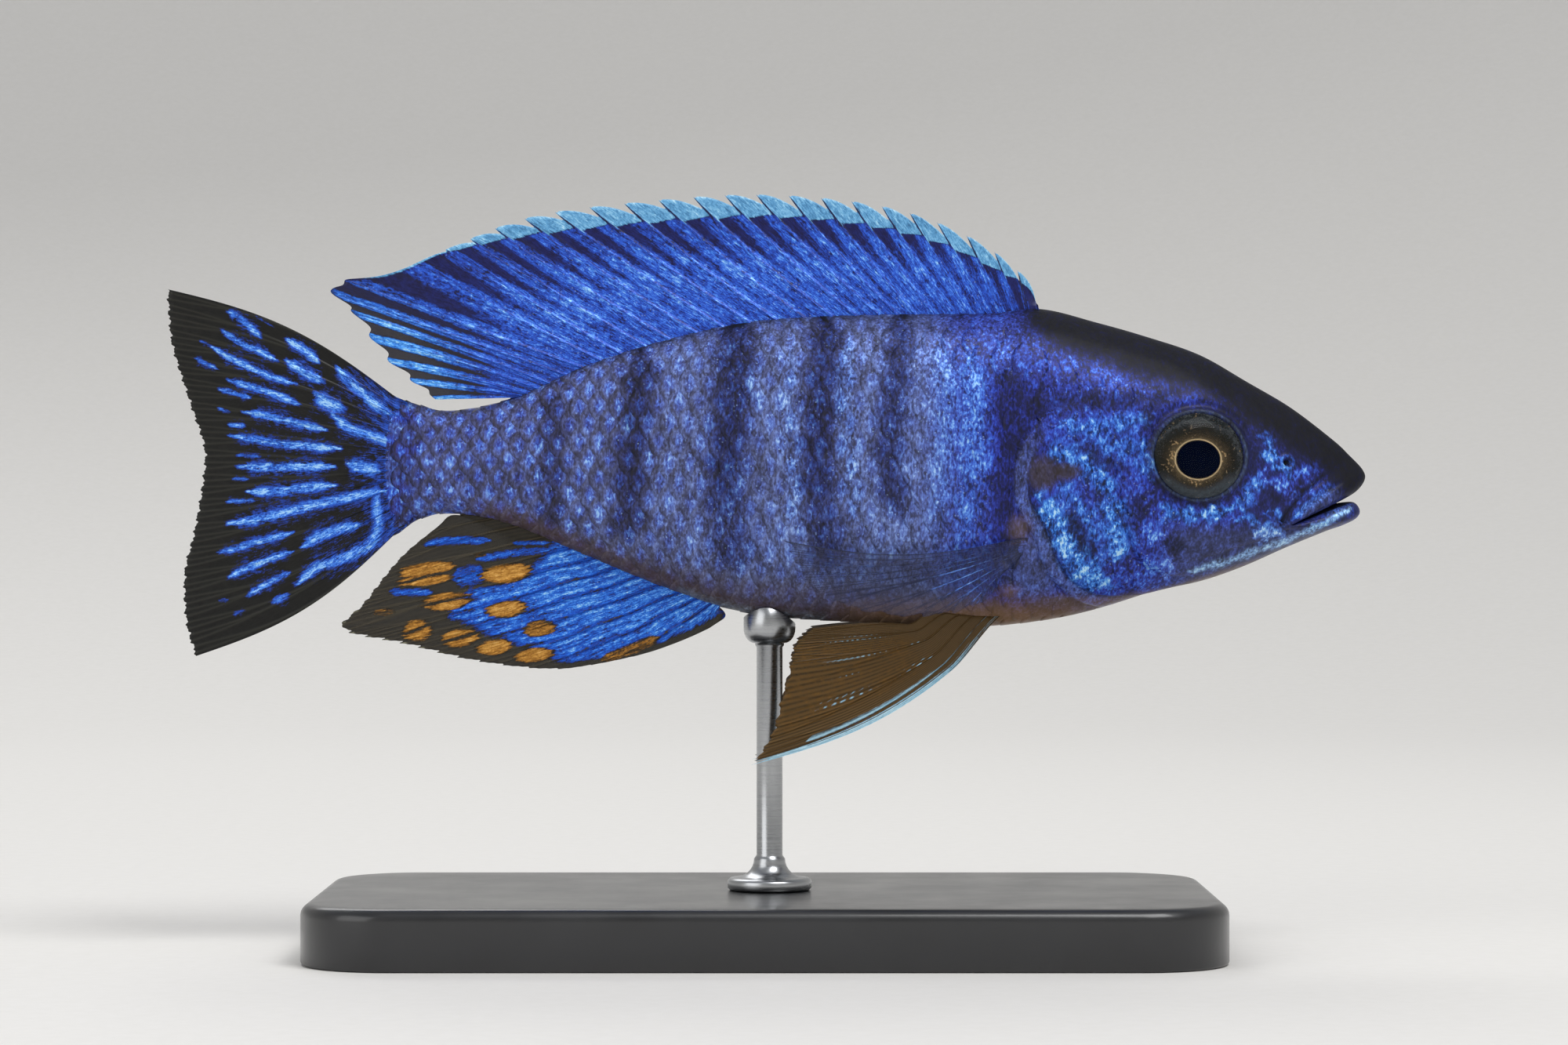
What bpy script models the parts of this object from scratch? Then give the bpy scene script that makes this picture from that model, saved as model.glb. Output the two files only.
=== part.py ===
# Peacock cichlid, adult male, in swimming pose, as a life-size museum model on a small display stand.
# The snout points along +X and +Z is up, so the fish's right side is at -Y and its left side at +Y.
# Sizes below are in millimetres and heights on the fish are measured from the level of its middle line;
# they become metres when a mesh is written. The origin is under the middle of the stand's base.

import math

import bmesh
import bpy
import numpy as np
from mathutils import Vector

METRES = 0.001
AXIS_HEIGHT = 48.0
GAP = 0.3

# Lines of the body, snout to tail. Each station is a ring: its point on the back, its widest point
# on the side, its point on the belly, each as (x, z), and half the width there.
# The first rings run round the mouth and out over the lips.
STATIONS = (
    ("mouth line", (58.6, -2.7), (53.2, -5.13), (58.6, -2.7), 2.7),
    ("lip edge", (59.3, -1.9), (52.8, -5.3), (59.1, -3.3), 3.1),
    ("lip crest", (60.0, -0.9), (52.3, -5.5), (59.5, -4.0), 3.6),
    ("lip outer", (59.8, 0.1), (51.75, -5.75), (59.1, -4.8), 3.8),
    ("lip fold", (58.4, 1.6), (51.2, -5.7), (57.7, -5.5), 3.8),
    ("snout", (56.8, 3.1), (50.7, -5.2), (56.0, -6.1), 4.2),
    ("nostril", (52.6, 6.3), (49.0, -3.8), (52.1, -7.7), 5.0),
    ("before eye", (48.2, 8.9), (47.2, -2.5), (47.8, -9.6), 5.7),
    ("eye", (43.5, 11.6), (43.5, -1.4), (43.5, -11.1), 6.4),
    ("behind eye", (38.8, 13.4), (38.8, -0.5), (38.8, -12.3), 6.9),
    ("cheek", (33.3, 15.0), (33.3, -0.2), (33.3, -14.0), 7.2),
    ("nape", (27.4, 16.4), (27.4, 0.0), (27.4, -15.2), 7.2),
    ("shoulder", (21.5, 15.9), (21.5, 0.2), (21.5, -15.7), 7.1),
    ("chest", (13.6, 15.8), (13.6, 0.2), (13.6, -15.4), 6.8),
    ("middle", (5.8, 15.6), (5.8, 0.3), (5.8, -15.1), 6.2),
    ("belly", (-2.1, 15.0), (-2.1, 0.5), (-2.1, -14.3), 5.4),
    ("vent", (-9.9, 13.3), (-9.9, 0.8), (-9.9, -11.9), 4.5),
    ("rear", (-17.8, 10.8), (-17.8, 1.1), (-17.8, -8.7), 3.5),
    ("stalk start", (-25.6, 7.3), (-25.6, 0.9), (-25.6, -5.5), 2.7),
    ("stalk", (-31.5, 6.1), (-31.5, 0.9), (-31.5, -4.4), 2.2),
    ("stalk end", (-34.7, 6.7), (-34.7, 0.8), (-34.7, -5.0), 1.7),
    ("tail root", (-36.8, 7.5), (-36.8, 0.6), (-36.8, -6.4), 1.2),
)
LIP_RINGS = 4
FIRST_UPRIGHT = 9
BACK_PINCH = 1.12
BELLY_PINCH = 0.9
RING_SIDES = 32
HEAD_REAR = 30.65
TAIL_FRONT = -4.0

# Cuts in side view that part the lip and the jaw from the head: three arms from the mouth's corner,
# anticlockwise, along the mouth, behind the upper lip, and down behind the jaw.
MOUTH_CORNER = (51.6, -5.85)
MOUTH_CUT = ((53.2, -5.13), (58.6, -2.7), (62.0, -1.2))
LIP_CUT = ((52.5, -3.8), (55.0, -1.1), (57.2, 1.3), (59.5, 3.7))
JAW_CUT = ((50.6, -6.9), (48.9, -8.6), (46.6, -12.0))

# Lengths of the steps between rings, and how far a tool reaches out past the skin on each side.
HEAD_STEP = 1.7
TRUNK_STEP = 3.1
TAIL_STEP = 2.75
HEAD_WALL_HALF = 9.0
POCKET_OUTSIDE = 2.0

EYE_PLACE = (42.9, 1.4)
EYE_RADIUS = 4.4
EYE_BULGE = 1.5
EYE_DEPTH = 3.9
EYE_SUNK = 0.25
EYE_SIDES = 22
EYE_RINGS = 8
RIM_RADIUS = 4.9
RIM_WIDTH = 0.5
RIM_HEIGHT = 0.42
RIM_SUNK = 0.12
RIM_SIDES = 28
NOSTRIL_PLACE = (51.6, 0.8)
NOSTRIL_RADIUS = 0.62
NOSTRIL_LIP = 0.26
NOSTRIL_HEIGHT = 0.24
NOSTRIL_SUNK = 0.05
NOSTRIL_SIDES = 12
NOSTRIL_PIT = ((0.0, -0.9), (0.3, -0.8), (0.4, 0.0), (0.45, 1.4), (0.0, 1.4))
RING_STEPS = 8

# Gill cover: an egg-shaped plate on the side, its lower part drawn forward to the throat.
COVER_PLACE = (30.9, -3.9)
COVER_REAR = 5.6
COVER_FRONT = 4.9
COVER_UP = 8.5
COVER_DOWN = 8.9
COVER_LEAN = 0.28
COVER_RAISED = 0.5
COVER_DEPTH = 0.8
COVER_SEGMENTS = 26
COVER_RINGS = 4

# Fins. A fan gives, for some of the rays counted from the front, the share of the margin at the
# ray's tip and the place of its root; a bow is how far the ray's middle stands off a straight line.
FIN_ROOT_HALF = 0.62
FIN_EDGE_HALF = 0.26
RAY_RIDGE = 0.2
FIN_ROWS = 7

DORSAL_BASE = (27.3, -25.6)
DORSAL_SPINES = 17
DORSAL_RAYS = 29
DORSAL_FAN = (
    (0, 0.0, 27.3), (1, 0.041, 26.1), (2, 0.073, 25.0), (4, 0.144, 22.0), (6, 0.207, 18.5), (8, 0.274, 14.8),
    (10, 0.345, 11.1), (12, 0.414, 6.4), (14, 0.49, 0.7), (16, 0.566, -4.6), (18, 0.634, -9.9),
    (20, 0.692, -14.8), (21, 0.73, -16.8), (22, 0.805, -18.7), (24, 0.867, -22.0), (26, 0.934, -24.3),
    (28, 1.0, -25.6),
)
DORSAL_BOW = ((0, -0.3), (4, -0.2), (8, 0.2), (12, 0.4), (17, 0.2), (22, 0.1), (25, -0.3), (28, 0.0))
DORSAL_SWAY = 0.5
DORSAL_MARGIN = (
    (27.2, 17.0), (26.0, 19.4), (20.5, 23.4), (11.8, 26.5), (-0.8, 27.7), (-14.2, 26.8),
    (-24.0, 25.3), (-31.9, 22.2), (-37.4, 19.8), (-43.6, 18.6), (-41.0, 15.4), (-37.7, 10.9), (-33.0, 7.1),
)
LAPPET_NOTCH = 1.7
LAPPET_FADE = 4
LAPPET_SHAPE = ((0.0, 1.0), (0.16, 0.68), (0.5, 0.22), (0.88, 0.0))
TIP_NOTCH = 0.12
TIP_SPACING = 0.2

ANAL_BASE = (-4.6, -30.6)
ANAL_RAYS = 13
ANAL_ROOT_POWER = 1.3
ANAL_TIP_POWER = 0.56
ANAL_BOW = (0.69, -0.37)
ANAL_SWAY = 0.4
ANAL_MARGIN = (
    (-4.8, -15.2), (-6.3, -16.0), (-11.0, -18.0), (-16.4, -19.3), (-21.7, -19.9), (-29.1, -19.1),
    (-36.3, -17.4), (-42.5, -15.9), (-40.3, -13.2), (-36.5, -8.6), (-32.4, -5.3),
)

CAUDAL_BASE = (-37.1, 7.4, -6.3)
CAUDAL_RAYS = 16
CAUDAL_BOW = 1.7
CAUDAL_SWAY = 0.7
CAUDAL_MARGIN = (
    (-60.0, 18.2), (-59.9, 15.7), (-59.5, 12.3), (-57.7, 6.5), (-56.4, 2.4), (-56.5, -1.0),
    (-57.4, -6.3), (-58.3, -10.2), (-58.1, -15.2), (-57.1, -18.6),
)

PELVIC_BASE = (23.3, 16.9)
PELVIC_OFFSET = 2.2
PELVIC_SPREAD = 3.0
PELVIC_RAYS = 6
PELVIC_ROWS = 8
PELVIC_TIPS = (0.0, 0.05, 0.32, 0.70, 0.88, 1.0)
PELVIC_BOW = (2.26, -0.46)
PELVIC_MARGIN = ((-1.4, -29.2), (0.5, -26.2), (1.4, -23.0), (2.2, -20.3), (2.8, -17.4), (4.5, -15.7))

PECTORAL_TOP = (25.1, -6.7)
PECTORAL_BOTTOM = (24.3, -9.8)
PECTORAL_RAYS = 13
PECTORAL_ROWS = 6
PECTORAL_TIPS = (0.0, 0.11, 0.25, 0.62, 0.92, 1.0)
PECTORAL_BOW = (1.5, -0.9)
PECTORAL_SPREAD = 2.2
PECTORAL_OFF = 0.75
PECTORAL_LOWEST = -8.0
PECTORAL_ROOT_HALF = 0.6
PECTORAL_RIDGE = 0.14
PECTORAL_MARGIN = (
    (1.9, -7.0), (3.4, -10.6), (6.6, -13.0), (11.3, -14.3), (16.0, -14.5), (20.7, -13.5), (23.3, -11.4),
)

BASE_LENGTH = 90.0
BASE_WIDTH = 46.0
BASE_THICKNESS = 6.0
BASE_CORNER = 9.0
BASE_CHAMFER = 0.8
ROD_X = 0.4
ROD_RADIUS = 1.3
ROD_SIDES = 20
FOOT_RADIUS = 4.2
FOOT_HEIGHT = 3.0
FOOT_RIM = 1.0
FOOT_SHOULDER = (1.4, 1.7)
FOOT_NECK = 0.5
FOOT_SIDES = 24
CUP_RADIUS = 2.6
CUP_DEPTH = 2.2
CUP_FOOT = 0.3
CUP_FLARE = 1.4


def clear_scene():
    for found in list(bpy.data.objects):
        bpy.data.objects.remove(found, do_unlink=True)


def material(name, colour, roughness, metallic=0.0):
    made = bpy.data.materials.new(name)
    made.use_nodes = True
    shader = made.node_tree.nodes["Principled BSDF"]
    shader.inputs["Base Color"].default_value = (*colour, 1.0)
    shader.inputs["Roughness"].default_value = roughness
    shader.inputs["Metallic"].default_value = metallic
    made.diffuse_color = (*colour, 1.0)
    return made


# Smooth lines


def catmull(values, u):
    """Value at u, counted in points, on a smooth line through the points."""
    last = len(values) - 1
    k = min(int(u), last - 1)
    f = u - k
    before = values[max(k - 1, 0)]
    start = values[k]
    end = values[k + 1]
    after = values[min(k + 2, last)]
    cubic = 3 * (start - end) + after - before
    square = 2 * before - 5 * start + 4 * end - after
    return start + 0.5 * f * (end - before + f * (square + f * cubic))


def smooth_line(points, steps=16):
    """A smooth line through the points, as a function of the share of its length."""
    values = np.array(points, float)
    places = np.linspace(0, len(values) - 1, steps * (len(values) - 1) + 1)
    dense = np.array([catmull(values, u) for u in places])
    run = np.concatenate([[0.0], np.cumsum(np.linalg.norm(np.diff(dense, axis=0), axis=1))])
    run /= run[-1]

    def at(share):
        return np.array([np.interp(share, run, dense[:, k]) for k in range(dense.shape[1])])

    return at


# The body's lines

STATION_VALUES = np.array([(*top, *side, *low, half) for _, top, side, low, half in STATIONS])
DENSE = np.array([catmull(STATION_VALUES, u) for u in np.linspace(5, len(STATIONS) - 1, 400)])[::-1]


def back_height(x):
    return float(np.interp(x, DENSE[:, 0], DENSE[:, 1]))


def side_height(x):
    return float(np.interp(x, DENSE[:, 2], DENSE[:, 3]))


def belly_line(x):
    return float(np.interp(x, DENSE[:, 4], DENSE[:, 5]))


def widest_half(x):
    return float(np.interp(x, DENSE[:, 2], DENSE[:, 6]))


def half_width(x, z):
    """Half the body's width at the height z."""
    middle = side_height(x)
    if z >= middle:
        share = (z - middle) / (back_height(x) - middle)
        pinch = BACK_PINCH
    else:
        share = (middle - z) / (middle - belly_line(x))
        pinch = BELLY_PINCH
    return widest_half(x) * max(1 - share * share, 0.0) ** (pinch / 2)


def belly_height(x, y):
    """Height of the underside at the distance y from the middle plane."""
    middle = side_height(x)
    share = min(abs(y) / widest_half(x), 1.0) ** (2 / BELLY_PINCH)
    return middle - (middle - belly_line(x)) * math.sqrt(1 - share)


def side_normal(x, z):
    """Direction that the left side faces at (x, z)."""
    step = 0.4
    along = (half_width(x + step, z) - half_width(x - step, z)) / (2 * step)
    up = (half_width(x, z + step) - half_width(x, z - step)) / (2 * step)
    return Vector((-along, 1.0, -up)).normalized()


# Meshes


def write_mesh(name, points, faces, look=None):
    mesh = bpy.data.meshes.new(name)
    raised = [(x * METRES, y * METRES, (z + AXIS_HEIGHT) * METRES) for x, y, z in points]
    mesh.from_pydata(raised, [], faces)
    shape = bmesh.new()
    shape.from_mesh(mesh)
    bmesh.ops.recalc_face_normals(shape, faces=shape.faces)
    shape.to_mesh(mesh)
    shape.free()
    made = bpy.data.objects.new(name, mesh)
    bpy.context.scene.collection.objects.link(made)
    if look is not None:
        mesh.materials.append(look)
    return made


def smooth_faces(made, degrees):
    made.data.shade_smooth()
    made.data.set_sharp_from_angle(angle=math.radians(degrees))


def loft(rings):
    """Points and faces of a closed body through rings of equal count, with flat ends."""
    sides = len(rings[0])
    points = [tuple(p) for ring in rings for p in ring]
    faces = []
    for k in range(len(rings) - 1):
        for i in range(sides):
            j = (i + 1) % sides
            faces.append((k * sides + i, k * sides + j, (k + 1) * sides + j, (k + 1) * sides + i))
    faces.append(tuple(range(sides))[::-1])
    last = (len(rings) - 1) * sides
    faces.append(tuple(range(last, last + sides)))
    return points, faces


def lathe(profile, sides):
    """Points and faces of a turned body round Z. The profile runs pole to pole as (radius, height)."""
    points = [(0.0, 0.0, profile[0][1])]
    for radius, height in profile[1:-1]:
        for i in range(sides):
            turn = 2 * math.pi * i / sides
            points.append((radius * math.cos(turn), radius * math.sin(turn), height))
    points.append((0.0, 0.0, profile[-1][1]))
    rows = len(profile) - 2
    faces = []
    for i in range(sides):
        j = (i + 1) % sides
        faces.append((0, 1 + j, 1 + i))
        for k in range(rows - 1):
            low = 1 + k * sides
            high = low + sides
            faces.append((low + i, low + j, high + j, high + i))
        faces.append((1 + (rows - 1) * sides + i, 1 + (rows - 1) * sides + j, len(points) - 1))
    return points, faces


def placed(points, place, facing):
    """Points turned so that their Z looks along facing, and moved to place."""
    turn = Vector((0, 0, 1)).rotation_difference(facing).to_matrix()
    return [tuple(turn @ Vector(p) + Vector(place)) for p in points]


def volume(mesh):
    shape = bmesh.new()
    shape.from_mesh(mesh)
    inside = shape.calc_volume()
    shape.free()
    return inside


def triangulate(mesh):
    shape = bmesh.new()
    shape.from_mesh(mesh)
    bmesh.ops.triangulate(shape, faces=shape.faces)
    shape.to_mesh(mesh)
    shape.free()


def boolean(target, others, operation):
    """Joins or cuts target with the other bodies, applies it and removes them. Where the exact solver
    loses most of the body, the manifold one is used."""
    before = volume(target.data)
    for body in (target, *others):
        triangulate(body.data)
    group = bpy.data.collections.new("tools")
    bpy.context.scene.collection.children.link(group)
    for other in others:
        bpy.context.scene.collection.objects.unlink(other)
        group.objects.link(other)
    step = target.modifiers.new("cut", "BOOLEAN")
    step.operation = operation
    step.operand_type = "COLLECTION"
    step.collection = group
    for solver in ("EXACT", "MANIFOLD"):
        step.solver = solver
        bpy.context.view_layer.update()
        graph = bpy.context.evaluated_depsgraph_get()
        mesh = bpy.data.meshes.new_from_object(target.evaluated_get(graph))
        if volume(mesh) > before / 2:
            break
    target.modifiers.clear()
    target.data = mesh
    for other in others:
        bpy.data.objects.remove(other, do_unlink=True)
    bpy.data.collections.remove(group)


def pieces_of(made):
    """The separate closed pieces of a mesh, largest first, as lists of points and faces."""
    shape = bmesh.new()
    shape.from_mesh(made.data)
    shape.faces.ensure_lookup_table()
    left = set(shape.faces)
    found = []
    while left:
        start = left.pop()
        group = {start}
        front = [start]
        while front:
            face = front.pop()
            for edge in face.edges:
                for near in edge.link_faces:
                    if near in left:
                        left.discard(near)
                        group.add(near)
                        front.append(near)
        found.append(group)
    result = []
    for group in found:
        verts = sorted({v for face in group for v in face.verts}, key=lambda v: v.index)
        index = {v: n for n, v in enumerate(verts)}
        points = [tuple(v.co) for v in verts]
        faces = [tuple(index[v] for v in face.verts) for face in sorted(group, key=lambda f: f.index)]
        volume = sum(
            Vector(points[f[0]]).dot(Vector(points[f[k]]).cross(Vector(points[f[k + 1]])))
            for f in faces for k in range(1, len(f) - 1)
        )
        result.append((abs(volume), points, faces))
    shape.free()
    return sorted(result, key=lambda piece: -piece[0])


def object_of(name, piece, look):
    mesh = bpy.data.meshes.new(name)
    mesh.from_pydata(piece[1], [], piece[2])
    mesh.materials.append(look)
    made = bpy.data.objects.new(name, mesh)
    bpy.context.scene.collection.objects.link(made)
    return made


def keep_largest(made):
    name = made.name
    look = made.data.materials[0]
    piece = pieces_of(made)[0]
    bpy.data.objects.remove(made, do_unlink=True)
    return object_of(name, piece, look)


# Body


def ring(values, clip_back=False, clip_belly=False):
    top_x, top_z, side_x, side_z, low_x, low_z, half = values
    points = []
    for i in range(RING_SIDES):
        turn = 2 * math.pi * i / RING_SIDES
        rise = math.cos(turn)
        out = math.sin(turn)
        if rise >= 0:
            x = side_x + (top_x - side_x) * rise
            z = side_z + (top_z - side_z) * rise
            pinch = BACK_PINCH
        else:
            x = side_x - (low_x - side_x) * rise
            z = side_z - (low_z - side_z) * rise
            pinch = BELLY_PINCH
        y = math.copysign(half * abs(out) ** pinch, out)
        if clip_back:
            z = min(z, top_z - GAP)
        if clip_belly:
            z = max(z, low_z + GAP)
        points.append((x, y, z))
    return points


def ring_at(x):
    """Upright ring at the distance x, flattened where a fin stands on it."""
    values = (x, back_height(x), x, side_height(x), x, belly_line(x), widest_half(x))
    under_dorsal = DORSAL_BASE[1] - 1.2 < x < DORSAL_BASE[0] + 1.2
    over_anal = ANAL_BASE[1] - 1.2 < x < ANAL_BASE[0] + 1.2
    return ring(values, under_dorsal, over_anal)


def length_steps(front, rear, step):
    count = max(2, round((front - rear) / step))
    return np.linspace(front, rear, count + 1)


def body_loft(name, front, rear, step, look):
    points, faces = loft([ring_at(x) for x in length_steps(front, rear, step)])
    return write_mesh(name, points, faces, look)


def head_loft(look):
    """The whole head, closed at the front along the line of the mouth."""
    rings = [ring(STATION_VALUES[0])]
    for u in np.arange(1, LIP_RINGS, 1 / 2):
        rings.append(ring(catmull(STATION_VALUES, u)))
    for u in np.arange(LIP_RINGS, FIRST_UPRIGHT, 1 / 3):
        rings.append(ring(catmull(STATION_VALUES, u)))
    for x in length_steps(STATION_VALUES[FIRST_UPRIGHT][0], HEAD_REAR, HEAD_STEP):
        rings.append(ring_at(x))
    points, faces = loft(rings)
    half = RING_SIDES // 2
    mouth = {}
    for k in range(half // 2 + 1):
        mouth[half - k] = k
        mouth[half + k] = (RING_SIDES - k) % RING_SIDES
    front_cap = len(faces) - 2
    del faces[front_cap]
    faces = [tuple(dict.fromkeys(mouth.get(v, v) for v in face)) for face in faces]
    used = sorted({v for face in faces for v in face})
    index = {v: n for n, v in enumerate(used)}
    faces = [tuple(index[v] for v in face) for face in faces]
    return write_mesh("head", [points[v] for v in used], faces, look)


def left_of(direction):
    return Vector((-direction.y, direction.x))


def arm_sides(centre, line, width):
    """The right and left sides of a narrow arm that runs out from the centre along the line."""
    line = [centre] + [Vector(p) for p in line]
    right = []
    left = []
    for k in range(1, len(line)):
        before = (line[k] - line[k - 1]).normalized()
        after = (line[k + 1] - line[k]).normalized() if k < len(line) - 1 else before
        normal = left_of(before + after).normalized()
        reach = width / 2 / normal.dot(left_of(before))
        right.append(line[k] - normal * reach)
        left.append(line[k] + normal * reach)
    return right, left, (line[1] - line[0]).normalized()


def branched_wall(name, centre, lines, width):
    """A thin wall through the whole width of the head, of three arms that meet at the centre."""
    centre = Vector(centre)
    arms = [arm_sides(centre, line, width) for line in lines]
    outline = []
    for k, (right, left, ahead) in enumerate(arms):
        outline += right + left[::-1]
        later = arms[(k + 1) % len(arms)][2]
        start = left_of(ahead) * width / 2
        across = -left_of(later) * width / 2 - start
        run = (across.x * later.y - across.y * later.x) / (ahead.x * later.y - ahead.y * later.x)
        outline.append(centre + start + ahead * run)
    count = len(outline)
    points = [(p.x, y, p.y) for y in (-HEAD_WALL_HALF, HEAD_WALL_HALF) for p in outline]
    faces = [(i, (i + 1) % count, count + (i + 1) % count, count + i) for i in range(count)]
    faces.append(tuple(range(count))[::-1])
    faces.append(tuple(range(count, 2 * count)))
    return write_mesh(name, points, faces)


def on_side(side, x, z, rise):
    """Point on the side of the body at (x, z), raised off the skin along its own direction."""
    normal = side_normal(x, z)
    return (x + normal.x * rise, side * (half_width(x, z) + normal.y * rise), z + normal.z * rise)


def eye_body(name, side, grow, look=None):
    facing = side_normal(*EYE_PLACE)
    place = on_side(side, *EYE_PLACE, -EYE_SUNK)
    profile = []
    for k in range(EYE_RINGS + 1):
        turn = math.pi * (k / EYE_RINGS - 0.5)
        depth = (EYE_BULGE if turn > 0 else EYE_DEPTH) + grow
        profile.append(((EYE_RADIUS + grow) * math.cos(turn), depth * math.sin(turn)))
    profile[0] = (0.0, -(EYE_DEPTH + grow))
    profile[-1] = (0.0, EYE_BULGE + grow)
    points, faces = lathe(profile, EYE_SIDES)
    facing = Vector((facing.x, side * facing.y, facing.z))
    return write_mesh(name, placed(points, place, facing), faces, look)


def raised_ring(name, side, place, radius, width, height, sides, sunk):
    """A soft ring on the skin, such as the rim of the eye or of a nostril."""
    facing = side_normal(*place)
    facing = Vector((facing.x, side * facing.y, facing.z))
    steps = RING_STEPS
    points = []
    for i in range(sides):
        turn = 2 * math.pi * i / sides
        for k in range(steps):
            round_it = 2 * math.pi * k / steps
            reach = radius + width * math.cos(round_it)
            rise = height * math.sin(round_it) - sunk
            points.append((reach * math.cos(turn), reach * math.sin(turn), rise))
    faces = []
    for i in range(sides):
        j = (i + 1) % sides
        for k in range(steps):
            m = (k + 1) % steps
            faces.append((i * steps + k, j * steps + k, j * steps + m, i * steps + m))
    return write_mesh(name, placed(points, on_side(side, *place, 0.0), facing), faces)


def nostril_pit(side):
    facing = side_normal(*NOSTRIL_PLACE)
    facing = Vector((facing.x, side * facing.y, facing.z))
    points, faces = lathe(NOSTRIL_PIT, NOSTRIL_SIDES - 2)
    return write_mesh("pit", placed(points, on_side(side, *NOSTRIL_PLACE, 0.0), facing), faces)


def cover_body(name, side, grow, outside, inside, look=None):
    """The gill cover, or with grow the pocket that it lies in."""
    points = []
    faces = []
    for raised in (True, False):
        first = len(points)
        for k in range(1, COVER_RINGS + 1):
            share = k / COVER_RINGS
            for i in range(COVER_SEGMENTS):
                turn = 2 * math.pi * i / COVER_SEGMENTS
                out = math.cos(turn)
                up = math.sin(turn)
                reach_x = (COVER_FRONT if out > 0 else COVER_REAR) + grow
                reach_z = (COVER_UP if up > 0 else COVER_DOWN) + grow
                z = COVER_PLACE[1] + reach_z * up * share
                x = COVER_PLACE[0] + reach_x * out * share - COVER_LEAN * min(z - COVER_PLACE[1], 0.0)
                flare = (1 - out) / 2 * share
                rise = outside * (0.25 + 0.75 * flare) if grow == 0 else outside
                points.append(on_side(side, x, z, rise if raised else -inside))
        centre = len(points)
        middle_rise = outside * 0.45 if grow == 0 else outside
        points.append(on_side(side, *COVER_PLACE, middle_rise if raised else -inside))
        for i in range(COVER_SEGMENTS):
            j = (i + 1) % COVER_SEGMENTS
            faces.append((centre, first + i, first + j))
            for k in range(COVER_RINGS - 1):
                a = first + k * COVER_SEGMENTS
                b = a + COVER_SEGMENTS
                faces.append((a + i, b + i, b + j))
                faces.append((a + i, b + j, a + j))
    upper = (COVER_RINGS - 1) * COVER_SEGMENTS
    lower = COVER_RINGS * COVER_SEGMENTS + 1 + upper
    for i in range(COVER_SEGMENTS):
        j = (i + 1) % COVER_SEGMENTS
        faces.append((upper + i, upper + j, lower + j, lower + i))
    return write_mesh(name, points, faces, look)


def make_body():
    head_look = material("skin of the head", (0.10, 0.14, 0.28), 0.35)
    lip_look = material("skin of the lips", (0.14, 0.17, 0.27), 0.35)
    trunk_look = material("skin of the trunk", (0.06, 0.10, 0.42), 0.35)
    tail_look = material("skin of the tail", (0.05, 0.08, 0.34), 0.35)
    cover_look = material("skin of the gill covers", (0.14, 0.15, 0.30), 0.35)
    eye_look = material("eyes", (0.03, 0.03, 0.02), 0.08)

    head = head_loft(head_look)
    rims = []
    for side in (-1, 1):
        rims.append(raised_ring(
            "rim", side, EYE_PLACE, RIM_RADIUS, RIM_WIDTH, RIM_HEIGHT, RIM_SIDES, RIM_SUNK
        ))
        rims.append(raised_ring(
            "nostril", side, NOSTRIL_PLACE, NOSTRIL_RADIUS, NOSTRIL_LIP, NOSTRIL_HEIGHT, NOSTRIL_SIDES,
            NOSTRIL_SUNK,
        ))
    boolean(head, rims, "UNION")
    hollows = []
    for side in (-1, 1):
        hollows.append(eye_body("socket", side, GAP))
        hollows.append(nostril_pit(side))
        hollows.append(cover_body("pocket", side, GAP, POCKET_OUTSIDE, COVER_DEPTH + GAP))
    boolean(head, hollows, "DIFFERENCE")
    boolean(head, [branched_wall("cut", MOUTH_CORNER, (MOUTH_CUT, LIP_CUT, JAW_CUT), GAP)], "DIFFERENCE")
    pieces = pieces_of(head)
    jaw, lip = sorted(pieces[1:3], key=lambda piece: np.mean([p[2] for p in piece[1]]))
    bpy.data.objects.remove(head, do_unlink=True)
    smooth_faces(object_of("head", pieces[0], head_look), 40)
    smooth_faces(object_of("lower_jaw", jaw, lip_look), 40)
    smooth_faces(object_of("upper_lip", lip, lip_look), 40)

    trunk = body_loft("trunk", HEAD_REAR - GAP, TAIL_FRONT, TRUNK_STEP, trunk_look)
    pockets = [cover_body("pocket", side, GAP, POCKET_OUTSIDE, COVER_DEPTH + GAP) for side in (-1, 1)]
    boolean(trunk, pockets, "DIFFERENCE")
    smooth_faces(keep_largest(trunk), 40)
    tail = body_loft("tail_stalk", TAIL_FRONT - GAP, STATION_VALUES[-1][0], TAIL_STEP, tail_look)
    smooth_faces(tail, 40)

    for side, word in ((-1, "right"), (1, "left")):
        cover = cover_body("gill_cover_" + word, side, 0.0, COVER_RAISED, COVER_DEPTH, cover_look)
        smooth_faces(cover, 50)
        eye = eye_body("eye_" + word, side, 0.0, eye_look)
        smooth_faces(eye, 60)


# Fins


def fin_body(name, columns, look):
    """A thin solid from columns that run root to margin. Each column has its points (x, z) and its
    two faces' y. Both faces are split into the same triangles."""
    rows = len(columns[0][0])
    count = len(columns)
    points = []
    for face in (1, 2):
        for column in columns:
            for k in range(rows):
                points.append((column[0][k][0], column[face][k], column[0][k][1]))
    faces = []
    other = rows * count
    for c in range(count - 1):
        for k in range(rows - 1):
            a = c * rows + k
            b = a + rows
            if (c + k) % 2:
                halves = ((a, b, b + 1), (a, b + 1, a + 1))
            else:
                halves = ((a, b, a + 1), (b, b + 1, a + 1))
            for triangle in halves:
                faces.append(triangle)
                faces.append(tuple(other + v for v in triangle[::-1]))
    border = [c * rows for c in range(count)]
    border += [(count - 1) * rows + k for k in range(1, rows)]
    border += [c * rows + rows - 1 for c in range(count - 2, -1, -1)]
    border += [k for k in range(rows - 2, 0, -1)]
    for a, b in zip(border, border[1:] + border[:1]):
        faces.append((a, b, other + b))
        faces.append((a, other + b, other + a))
    made = write_mesh(name, points, faces, look)
    smooth_faces(made, 70)
    return made


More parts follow.
